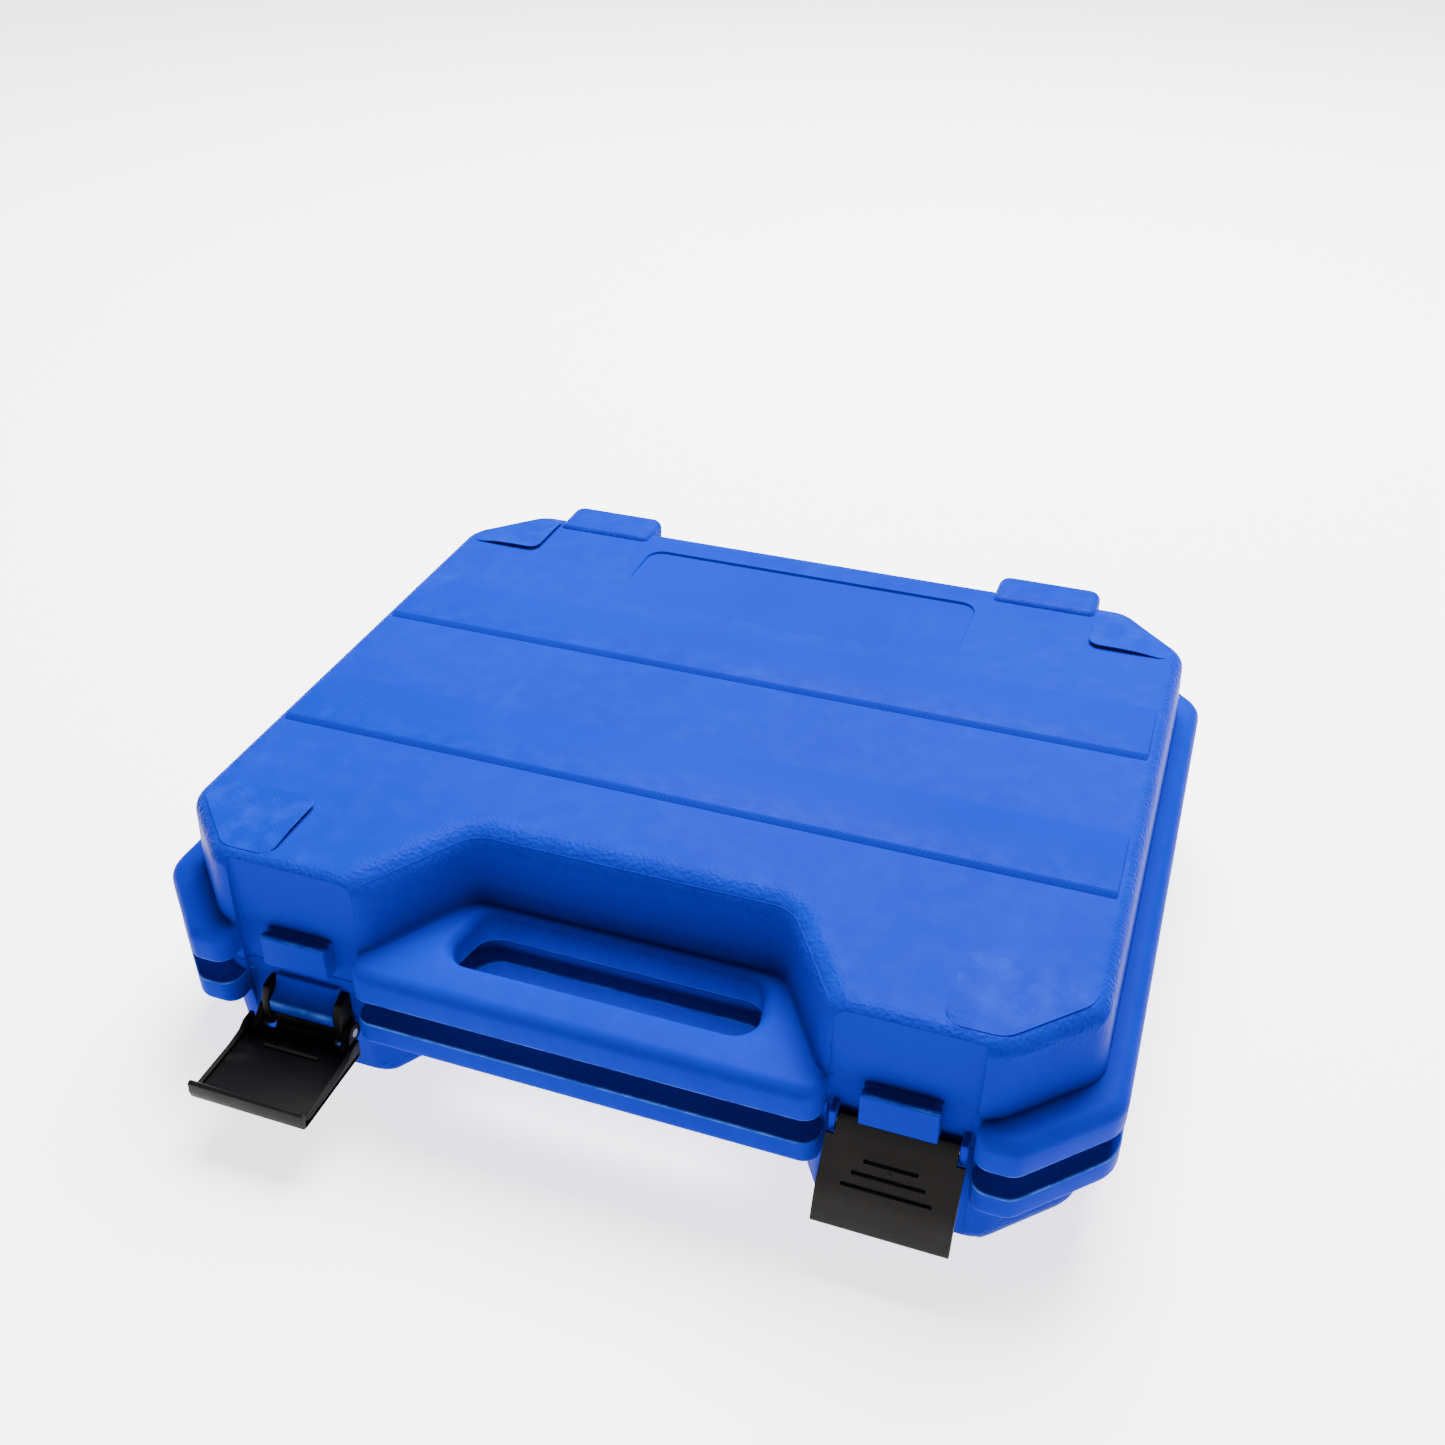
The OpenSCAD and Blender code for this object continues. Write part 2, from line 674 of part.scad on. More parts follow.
// Rubber sleeve that grips the plug's insulator
module plug_rubber(i) {
    s = plug_sizes[i];
    color("black") plug_place(i) translate([0, 0, drive_depth + 6]) difference() {
        cylinder(h = 16, r = s / 2);
        translate([0, 0, -cut]) cylinder(h = 16 + 2 * cut, r = s / 2 - 2.6);
    }
}

// ---------- bars ----------

// Male drive square of length l that points along +Z, with its detent ball
module male_square(l) {
    translate([-drive_s / 2, -drive_s / 2, 0]) cube([drive_s, drive_s, l]);
    translate([drive_s / 2 - 1.4, 0, l * 0.55]) sphere(r = 2.2);
}

// Extension bar along +X from its socket end
module extension(l) {
    head_l = bar_head_l;
    rotate([0, 90, 0]) difference() {
        union() {
            cylinder(h = head_l, r = bar_head_r);
            translate([0, 0, head_l]) cylinder(h = 5, r1 = bar_head_r, r2 = bar_r);
            translate([0, 0, head_l + 5]) cylinder(h = l - head_l - 5 - 15, r = bar_r);
            translate([0, 0, l - 20]) cylinder(h = 5, r = bar_collar_r);
            translate([0, 0, l - 15]) male_square(15);
        }
        translate([0, 0, -cut]) linear_extrude(drive_depth + cut)
            square(drive_s + 2 * drive_clear, center = true);
    }
}

module extension_long() {
    color("silver") translate([-long_bar_l / 2, long_y, tool_z]) extension(long_bar_l);
}

module extension_short() {
    color("silver") translate([short_x, short_y, tool_z]) extension(short_bar_l);
}

module tee_bar() {
    color("silver") translate([-tee_l / 2, tee_y, tool_z]) rotate([0, 90, 0]) cylinder(h = tee_l, r = tee_r);
}

// Collars that keep the slider on the bar
module tee_bar_stops() {
    color("silver") for (sx = [-1, 1])
        translate([sx * (tee_l / 2 + 1.5), tee_y, tool_z]) rotate([0, 90, 0])
            cylinder(h = 3, r = tee_r + 0.2, center = true);
}

// Head that slides along the bar, its drive square down
module tee_slider() {
    color("silver") translate([tee_head_x, tee_y, tool_z]) difference() {
        union() {
            rotate([0, 90, 0]) cylinder(h = tee_head_l, r = tee_head_r - 0.6, center = true);
            translate([0, 0, -tee_head_r + 2.4]) rotate([180, 0, 0]) male_square(tee_square_l);
        }
        rotate([0, 90, 0]) cylinder(h = tee_head_l + 2 * cut, r = tee_r + pin_clear, center = true);
    }
}

// ---------- universal joint ----------

// Yoke along +X with its cheeks around the origin, pins along Z
module yoke() {
    cheek_l = 11;
    difference() {
        union() {
            translate([cheek_l, 0, 0]) rotate([0, 90, 0]) cylinder(h = uj_l - cheek_l, r = uj_r);
            intersection() {
                rotate([0, 90, 0]) cylinder(h = cheek_l + cut, r = uj_r);
                for (side = [-1, 1])
                    translate([0, -uj_cheek_w / 2, side * (uj_r - uj_cheek / 2) - uj_cheek / 2])
                        cube([cheek_l + 2 * cut, uj_cheek_w, uj_cheek]);
            }
            for (side = [-1, 1])
                translate([0, 0, side * (uj_r - uj_cheek / 2 - 1.1)])
                    cylinder(h = uj_cheek - 2.2, r = uj_boss_r, center = true);
        }
        cylinder(h = 4 * uj_r, r = uj_pin_r + pin_clear, center = true);
    }
}

module ujoint_input_yoke() {
    color("silver") translate([uj_x, short_y, tool_z]) rotate([0, 0, 180]) difference() {
        yoke();
        translate([uj_l - drive_depth, 0, 0]) rotate([0, 90, 0]) linear_extrude(drive_depth + cut)
            square(drive_s + 2 * drive_clear, center = true);
    }
}

module ujoint_cross() {
    color("gray") translate([uj_x, short_y, tool_z]) {
        cube(11, center = true);
        cylinder(h = 2 * uj_r - 1.6, r = uj_pin_r, center = true);
        rotate([90, 0, 0]) cylinder(h = 2 * uj_r - 1.6, r = uj_pin_r, center = true);
    }
}

module ujoint_output_yoke() {
    color("silver") translate([uj_x, short_y, tool_z]) rotate([90, 0, 0]) yoke();
}

// ---------- ratchet ----------

module at_head() {
    translate([ratchet_x, ratchet_y, 0]) children();
}

// Top view of the recess for the cover plate, grown by g
module cover_outline(g) {
    circle(cover_r + g);
    translate([pawl_x, 0]) circle(7.6 + g);
    translate([pawl_x, -7.6 - g]) square([-pawl_x, 15.2 + 2 * g]);
}

module screw_places() {
    for (a = [-50, 50, -128, 128]) rotate([0, 0, a]) translate([screw_ring_r, 0, 0]) children();
}

module ratchet_body() {
    color("silver") at_head() difference() {
        union() {
            translate([0, 0, head_low]) cylinder(h = head_t, r = head_r);
            translate([-neck_l + 8, -neck_half_w, head_low]) cube([neck_l - 8, 2 * neck_half_w, head_t]);
            translate([-neck_l + 8, 0, head_low + head_t / 2]) rotate([0, -90, 0])
                cylinder(h = 8, r1 = head_t / 2, r2 = shank_r);
            translate([-ratchet_l + 3, 0, tool_z - handle_drop]) rotate([0, 90, 0]) cylinder(h = ratchet_l - 34, r = shank_r);
        }
        translate([0, 0, gear_low - 0.2]) cylinder(h = head_t, r = cavity_r);
        translate([0, 0, head_low - cut]) cylinder(h = head_t, r = neck_r + pin_clear);
        translate([pawl_x, 0, gear_low - 0.2]) cylinder(h = head_t, r = pawl_pocket_r);
        translate([pawl_x, -4, gear_low - 0.2]) cube([8, 8, head_t]);
        translate([0, 0, head_top - cover_t]) linear_extrude(cover_t + cut) cover_outline(0.1);
        translate([0, 0, head_top - cover_t - 3]) screw_places() cylinder(h = 4, r = screw_r);
    }
}

module ratchet_cover() {
    color("gray") at_head() translate([0, 0, head_top - cover_t]) difference() {
        linear_extrude(cover_t) cover_outline(0);
        translate([0, 0, -cut]) cylinder(h = cover_t + 2 * cut, r = boss_r + pin_clear);
        translate([pawl_x, 0, -cut]) cylinder(h = cover_t + 2 * cut, r = lever_shaft_r + pin_clear);
        translate([0, 0, -cut]) screw_places() cylinder(h = cover_t + 2 * cut, r = screw_r);
    }
}

module ratchet_screws() {
    color("dimgray") at_head() translate([0, 0, head_top - cover_t - 3]) screw_places() {
        cylinder(h = cover_t + 3, r = screw_r);
        translate([0, 0, cover_t + 3]) cylinder(h = 0.6, r = 1.4);
    }
}

// Outline of the ratchet wheel, its teeth as alternating radii
module gear_outline() {
    tooth_h = 1.1;
    polygon([for (i = [0 : 2 * gear_teeth - 1])
        (gear_r - (i % 2) * tooth_h) * [cos(i * 180 / gear_teeth), sin(i * 180 / gear_teeth)]]);
}

// Gear, neck, drive square and upper boss in one piece
module ratchet_gear() {
    color("gray") at_head() difference() {
        union() {
            translate([0, 0, gear_low]) linear_extrude(gear_h) gear_outline();
            translate([0, 0, head_low]) cylinder(h = gear_low - head_low, r = neck_r);
            translate([0, 0, head_low]) rotate([180, 0, 0]) male_square(square_l);
            translate([0, 0, gear_low + gear_h]) cylinder(h = head_top + 1 - gear_low - gear_h, r = boss_r);
        }
        translate([0, 0, head_top - boss_h]) cylinder(h = boss_h + 2, r = button_r + pin_clear);
    }
}

module ratchet_pawl() {
    color("dimgray") at_head() translate([pawl_x, 0, gear_low]) difference() {
        cylinder(h = gear_h, r = pawl_r);
        cylinder(h = gear_h, r = lever_shaft_r);
        translate([-pawl_r - cut, -pawl_r - cut, -cut]) cube([2.6, 2 * pawl_r + 2 * cut, gear_h + 2 * cut]);
    }
}

module ratchet_lever() {
    color("dimgray") at_head() translate([pawl_x, 0, 0]) {
        translate([0, 0, gear_low]) cylinder(h = head_top - gear_low + 0.3, r = lever_shaft_r);
        translate([0, 0, head_top + 0.3]) cylinder(h = 2.6, r = 6);
        translate([-13, -2.6, head_top + 0.3]) cube([13, 5.2, 3.4]);
    }
}

module ratchet_button() {
    color("silver") at_head() translate([0, 0, head_top - boss_h + 2.4])
        cylinder(h = boss_h + 1.4, r = button_r);
}

module ratchet_button_spring() {
    color("silver") at_head() translate([0, 0, head_top - boss_h]) difference() {
        cylinder(h = 2.4, r = button_r - 0.4);
        translate([0, 0, -cut]) cylinder(h = 2.4 + 2 * cut, r = button_r - 1.1);
    }
}

// Rubber grip, ribbed, with a rounded end
module ratchet_grip() {
    rib_n = 12;
    rib_w = 3;
    pitch = (grip_l - 24) / rib_n;
    color("black") translate([wrench_end_x, ratchet_y, tool_z - handle_drop]) rotate([0, 90, 0]) difference() {
        union() {
            translate([0, 0, 3]) cylinder(h = grip_l - 3, r = grip_r - 1);
            cylinder(h = 3, r1 = grip_r - 3, r2 = grip_r - 1);
            for (i = [0 : rib_n - 1])
                translate([0, 0, 10 + i * pitch]) cylinder(h = rib_w, r = grip_r - 0.1);
        }
        translate([0, 0, 3]) cylinder(h = grip_l, r = shank_r);
    }
}

base_shell();
lid_shell();
socket_tray();
lid_foam();
hinge_pins();
latch_left();
latch_left_bracket();
latch_left_pin();
latch_right();
latch_right_pin();
ratchet_body();
ratchet_grip();
ratchet_cover();
ratchet_screws();
ratchet_gear();
ratchet_pawl();
ratchet_lever();
ratchet_button();
ratchet_button_spring();
extension_long();
extension_short();
tee_bar();
tee_bar_stops();
tee_slider();
ujoint_input_yoke();
ujoint_cross();
ujoint_output_yoke();
plug_socket(0);  // plug_socket_small
plug_socket(1);  // plug_socket_large
plug_rubber(0);  // plug_rubber_small
plug_rubber(1);  // plug_rubber_large
for (i = [0 : len(small_sizes) - 1])
    small_socket(i);
for (i = [0 : len(large_sizes) - 1])
    large_socket(i);
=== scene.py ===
"""Looks of a half-inch socket set in a blue blow-moulded carry case.

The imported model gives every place: +X is the right-hand end, +Y the hinge side, +Z is up, in metres.
"""
import json
import logging
import math
from dataclasses import dataclass, field
from enum import Enum
from typing import Callable, Iterable, Sequence

import bmesh
import bpy
import numpy as np
from mathutils import Matrix, Vector


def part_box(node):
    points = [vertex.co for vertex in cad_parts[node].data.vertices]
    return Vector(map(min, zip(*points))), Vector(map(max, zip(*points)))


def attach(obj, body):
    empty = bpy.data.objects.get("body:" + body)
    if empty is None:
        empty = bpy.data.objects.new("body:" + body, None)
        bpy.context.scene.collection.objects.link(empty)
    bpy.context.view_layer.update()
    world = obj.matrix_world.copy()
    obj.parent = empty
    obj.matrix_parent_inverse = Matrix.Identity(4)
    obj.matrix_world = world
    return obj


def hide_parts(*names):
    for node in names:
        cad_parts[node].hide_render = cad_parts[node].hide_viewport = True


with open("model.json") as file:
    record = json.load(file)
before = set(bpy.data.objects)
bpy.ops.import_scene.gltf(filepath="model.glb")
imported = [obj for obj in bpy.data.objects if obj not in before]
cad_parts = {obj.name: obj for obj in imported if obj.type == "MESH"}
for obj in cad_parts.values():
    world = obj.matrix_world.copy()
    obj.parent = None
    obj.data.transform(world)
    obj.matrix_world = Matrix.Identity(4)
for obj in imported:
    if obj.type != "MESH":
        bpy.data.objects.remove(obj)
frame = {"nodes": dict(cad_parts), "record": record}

MM = 0.001
LOG = logging.getLogger("socket_set")
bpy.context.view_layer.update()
Point = tuple[float, float]


class Zone(Enum):
    """Surface textures and painted light of the moulded case and latches, each kept as a mesh attribute from
    0 to 1. EDGE holds a painted highlight along edges; WEAR_AND_LIGHT holds wear on the case and painted
    light on the right latch.
    """

    KNURL = "knurl"
    PEBBLE = "pebble"
    WEAR_AND_LIGHT = "wear"
    EDGE = "edge"


class Axis(Enum):
    """Direction in which a tool lies, as its place in a vector."""

    X = 0
    Y = 1


# ---------------------------------------------------------------- outlines


@dataclass
class Outline:
    """Closed outline with rounded corners, anticlockwise seen from above, in millimetres.

    Its rings have the same number of points whatever the inset, so they can be lofted.
    """

    corners: Sequence[Point]
    radii: Sequence[float]
    gap: float = 5.0
    arcs: list[int] = field(init=False)
    straights: list[int] = field(init=False)

    def __post_init__(self) -> None:
        """Counts the points of every arc and side."""
        arcs = self.solve(0.0)
        self.arcs = [max(3, math.ceil(abs(turn) / math.radians(9))) for _, _, _, turn in arcs]
        ends = [(self.on_arc(arc, 0.0), self.on_arc(arc, 1.0)) for arc in arcs]
        self.straights = []
        for (_, here), (there, _) in zip(ends, ends[1:] + ends[:1]):
            self.straights.append(max(1, math.ceil(float(np.linalg.norm(there - here)) / self.gap)))

    def solve(self, inset: float | Sequence[float]) -> list[tuple[np.ndarray, float, float, float]]:
        """Finds every corner's arc once each side is drawn in.

        Args:
            inset: How far the sides are drawn in, or one value for each side.

        Returns:
            Centre, radius, first angle and turn of each corner's arc.
        """
        corner = np.asarray(self.corners, float)
        count = len(corner)
        inset = np.broadcast_to(np.asarray(inset, float), (count,))
        along = np.roll(corner, -1, axis=0) - corner
        along /= np.linalg.norm(along, axis=1)[:, None]
        inward = np.stack([-along[:, 1], along[:, 0]], axis=1)
        start = corner + inward * inset[:, None]
        arcs = []
        for i in range(count):
            u, v = along[i - 1], along[i]
            cross = u[0] * v[1] - u[1] * v[0]
            gap = start[i] - start[i - 1]
            point = start[i - 1] + u * (gap[0] * v[1] - gap[1] * v[0]) / cross
            side = math.copysign(1.0, cross)
            radius = max(self.radii[i] - side * (inset[i - 1] + inset[i]) / 2, 0.3)
            turn = side * math.acos(float(np.clip(u @ v, -1, 1)))
            foot = point - u * radius * math.tan(abs(turn) / 2)
            centre = foot + inward[i - 1] * side * radius
            arcs.append((centre, radius, math.atan2(*(foot - centre)[::-1]), turn))
        return arcs

    @staticmethod
    def on_arc(arc: tuple[np.ndarray, float, float, float], t: float) -> np.ndarray:
        """The point at the fraction t of an arc."""
        centre, radius, first, turn = arc
        angle = first + turn * t
        return centre + radius * np.array([math.cos(angle), math.sin(angle)])

    def ring(self, inset: float | Sequence[float] = 0.0,
             height: float | Sequence[float] = 0.0) -> np.ndarray:
        """Points of the outline drawn in by inset at a height.

        Args:
            inset: How far the sides are drawn in, or one value for each side.
            height: Height, or one value for each side, which the corners blend.

        Returns:
            One row for each point.
        """
        arcs = self.solve(inset)
        count = len(arcs)
        levels = np.broadcast_to(np.asarray(height, float), (count,))
        rows: list[tuple[float, float, float]] = []
        for i, arc in enumerate(arcs):
            for k in range(self.arcs[i] + 1):
                t = k / self.arcs[i]
                x, y = self.on_arc(arc, t)
                blend = t * t * (3 - 2 * t)
                rows.append((x, y, levels[i - 1] * (1 - blend) + levels[i] * blend))
            here, there = self.on_arc(arc, 1.0), self.on_arc(arcs[(i + 1) % count], 0.0)
            for k in range(1, self.straights[i]):
                x, y = here + (there - here) * k / self.straights[i]
                rows.append((x, y, levels[i]))
        return np.array(rows)


# ---------------------------------------------------------------- meshes


def quarter(step: int, steps: int) -> Point:
    """How far a quarter round of radius 1 has left its start and has still to go, at one of its steps."""
    angle = math.pi / 2 * step / steps
    return 1 - math.cos(angle), 1 - math.sin(angle)


class Skin:
    """A mesh under construction, in millimetres, with its texture zones."""

    def __init__(self) -> None:
        """Starts with no points."""
        self.mesh = bmesh.new()
        self.layers = {zone: self.mesh.verts.layers.float.new(zone.value) for zone in Zone}

    def add_ring(self, points: np.ndarray, **zones: float | np.ndarray) -> list[bmesh.types.BMVert]:
        """Adds a closed ring of points.

        Args:
            points: One row for each point.
            zones: Zone names with one value, or one value for each point.

        Returns:
            The ring's vertices.
        """
        verts = [self.mesh.verts.new(point) for point in points]
        for name, value in zones.items():
            layer = self.layers[Zone(name)]
            for vert, amount in zip(verts, np.broadcast_to(value, (len(verts),))):
                vert[layer] = float(amount)
        return verts

    def bridge(self, low: list[bmesh.types.BMVert], high: list[bmesh.types.BMVert]) -> None:
        """Joins two rings of equal length with quads."""
        count = len(low)
        for i in range(count):
            j = (i + 1) % count
            self.mesh.faces.new((low[i], low[j], high[j], high[i]))

    def loft(self, rings: list[list[bmesh.types.BMVert]]) -> None:
        """Joins each ring to the next."""
        for low, high in zip(rings, rings[1:]):
            self.bridge(low, high)

    def fill(self, *rings: list[bmesh.types.BMVert]) -> None:
        """Fills the flat area between one outer ring and any holes."""
        edges = []
        for verts in rings:
            for a, b in zip(verts, verts[1:] + verts[:1]):
                edges.append(self.mesh.edges.get((a, b)) or self.mesh.edges.new((a, b)))
        bmesh.ops.triangle_fill(self.mesh, use_beauty=True, use_dissolve=False, edges=edges)

    def rounded_wall(self, outline: Outline, low: float, high: float, round_low: float | Sequence[float],
                     round_high: float | Sequence[float], steps: int = 4, highlight_low: float = 0.0,
                     edge_high: float = 0.0, **zones: float) -> list[list[bmesh.types.BMVert]]:
        """Adds a wall whose upper and lower edges are rounded towards the inside of its outline.

        Args:
            outline: The wall's outline.
            low: Height of its foot.
            high: Height of its top.
            round_low: Radius of the lower edge, negative where the material is outside the outline.
            round_high: Radius of the upper edge, likewise.
            steps: Steps in each rounding.
            highlight_low: Painted highlight along the lower edge.
            edge_high: Painted highlight along the upper edge.
            zones: Other zone values.

        Returns:
            The rings from low to high.
        """
        below, above = np.asarray(round_low, float), np.asarray(round_high, float)
        rings = []
        for k in range(steps + 1):
            near, far = quarter(k, steps)
            path = outline.ring(below * far, low + abs(below) * near)
            rings.append(self.add_ring(path, edge=highlight_low if 0 < k < steps else 0.0, **zones))
        for k in range(steps + 1):
            near, far = quarter(k, steps)
            path = outline.ring(above * near, high - abs(above) * far)
            rings.append(self.add_ring(path, edge=edge_high if 0 < k < steps else 0.0, **zones))
        self.loft(rings)
        return rings

    def slab(self, outline: Outline, low: float, high: float, round_low: float, round_high: float,
             steps: int = 4, **zones: float) -> None:
        """Adds a closed slab with rounded upper and lower edges."""
        rings = self.rounded_wall(outline, low, high, round_low, round_high, steps, **zones)
        self.fill(rings[0])
        self.fill(rings[-1])

    def finish(self, name: str, sharp: float = 38.0) -> bpy.types.Object:
        """Turns the skin into a smooth-shaded object in metres.

        Args:
            name: Name of the object.
            sharp: Angle in degrees above which an edge stays sharp.

        Returns:
            The object.
        """
        bmesh.ops.remove_doubles(self.mesh, verts=self.mesh.verts, dist=0.0005)
        bmesh.ops.recalc_face_normals(self.mesh, faces=self.mesh.faces)
        bmesh.ops.scale(self.mesh, vec=(MM, MM, MM), verts=self.mesh.verts)
        data = bpy.data.meshes.new(name)
        self.mesh.to_mesh(data)
        self.mesh.free()
        return smooth(link(name, data), sharp)


def link(name: str, data: bpy.types.Mesh) -> bpy.types.Object:
    """Puts a mesh in the scene as an object at the origin."""
    piece = bpy.data.objects.new(name, data)
    bpy.context.scene.collection.objects.link(piece)
    return piece


def smooth(piece: bpy.types.Object, sharp: float = 38.0) -> bpy.types.Object:
    """Shades a piece smoothly apart from edges above the angle sharp."""
    piece.data.shade_smooth()
    piece.data.set_sharp_from_angle(angle=math.radians(sharp))
    return piece


def cut(piece: bpy.types.Object, cutter: bpy.types.Object) -> bpy.types.Object:
    """Cuts one closed piece out of another and deletes the cutter."""
    modifier = piece.modifiers.new("cut", "BOOLEAN")
    modifier.operation = "DIFFERENCE"
    modifier.solver = "EXACT"
    modifier.object = cutter
    apply_modifiers(piece)
    bpy.data.objects.remove(cutter)
    return piece


def apply_modifiers(piece: bpy.types.Object) -> bpy.types.Object:
    """Bakes a piece's modifiers into its mesh."""
    graph = bpy.context.evaluated_depsgraph_get()
    data = bpy.data.meshes.new_from_object(piece.evaluated_get(graph))
    piece.modifiers.clear()
    piece.data = data
    return piece


def prism_x(profile: Sequence[Point], low: float, high: float, name: str, bevel: float = 0.0,
            segments: int = 3, angle: float = 30.0) -> bpy.types.Object:
    """Extrudes a side view along X and rounds its edges.

    Args:
        profile: Points [y, z] in millimetres.
        low: Left end.
        high: Right end.
        name: Name of the object.
        bevel: Radius of the rounded edges.
        segments: Steps in each rounding.
        angle: Edges sharper than this many degrees are rounded.

    Returns:
        The object.
    """
    mesh = bmesh.new()
    ends = [[mesh.verts.new((x, y, z)) for y, z in profile] for x in (low, high)]
    for i in range(len(profile)):
        j = (i + 1) % len(profile)
        mesh.faces.new((ends[0][i], ends[0][j], ends[1][j], ends[1][i]))
    mesh.faces.new(ends[0])
    mesh.faces.new(ends[1][::-1])
    bmesh.ops.recalc_face_normals(mesh, faces=mesh.faces)
    if bevel:
        edges = [edge for edge in mesh.edges if edge.calc_face_angle(0) > math.radians(angle)]
        bmesh.ops.bevel(mesh, geom=edges, offset=bevel, offset_type="OFFSET", segments=segments,
                        profile=0.5, affect="EDGES", clamp_overlap=True)
    bmesh.ops.scale(mesh, vec=(MM, MM, MM), verts=mesh.verts)
    data = bpy.data.meshes.new(name)
    mesh.to_mesh(data)
    mesh.free()
    return smooth(link(name, data))


def loft_x(sections: Sequence[tuple[float, np.ndarray]], name: str) -> bpy.types.Object:
    """Joins side views of equal length along X and closes both ends.

    Args:
        sections: Place along X and points [y, z] of each side view, in millimetres.
        name: Name of the object.

    Returns:
        The object.
    """
    mesh = bmesh.new()
    rows = [[mesh.verts.new((x, y, z)) for y, z in profile] for x, profile in sections]
    count = len(rows[0])
    for low, high in zip(rows, rows[1:]):
        for i in range(count):
            j = (i + 1) % count
            mesh.faces.new((low[i], low[j], high[j], high[i]))
    mesh.faces.new(rows[0])
    mesh.faces.new(rows[-1][::-1])
    bmesh.ops.remove_doubles(mesh, verts=mesh.verts, dist=0.001)
    bmesh.ops.dissolve_degenerate(mesh, edges=mesh.edges, dist=0.001)
    bmesh.ops.recalc_face_normals(mesh, faces=mesh.faces)
    bmesh.ops.scale(mesh, vec=(MM, MM, MM), verts=mesh.verts)
    data = bpy.data.meshes.new(name)
    mesh.to_mesh(data)
    mesh.free()
    return smooth(link(name, data), 30)


def block(low: Sequence[float], high: Sequence[float], name: str, bevel: float) -> bpy.types.Object:
    """A box with rounded edges between two corners in millimetres."""
    profile = [(low[1], low[2]), (high[1], low[2]), (high[1], high[2]), (low[1], high[2])]
    return prism_x(profile, low[0], high[0], name, bevel)


def join(name: str, pieces: Iterable[bpy.types.Object]) -> bpy.types.Object:
    """Joins pieces into one object, keeping their attributes."""
    parts = list(pieces)
    mesh = bmesh.new()
    for zone in Zone:
        mesh.verts.layers.float.new(zone.value)
    for part in parts:
        for zone in Zone:
            if zone.value not in part.data.attributes:
                part.data.attributes.new(zone.value, "FLOAT", "POINT")
        mesh.from_mesh(part.data)
    data = bpy.data.meshes.new(name)
    mesh.to_mesh(data)
    mesh.free()
    for part in parts:
        bpy.data.objects.remove(part)
    return link(name, data)


def paint(piece: bpy.types.Object, zone: Zone,
          rule: Callable[[np.ndarray, np.ndarray], np.ndarray]) -> None:
    """Sets a zone from each point's place and normal.

    Args:
        piece: The piece to paint.
        zone: The zone to set.
        rule: Takes places in millimetres and normals, and gives one value for each point.
    """
    count = len(piece.data.vertices)
    places = np.empty(count * 3)
    piece.data.vertices.foreach_get("co", places)
    normals = np.empty(count * 3)
    piece.data.vertices.foreach_get("normal", normals)
    if zone.value not in piece.data.attributes:
        piece.data.attributes.new(zone.value, "FLOAT", "POINT")
    values = np.clip(rule(places.reshape(-1, 3) / MM, normals.reshape(-1, 3)), 0, 1)
    piece.data.attributes[zone.value].data.foreach_set("value", values.astype(np.float32))


# ---------------------------------------------------------------- finishes


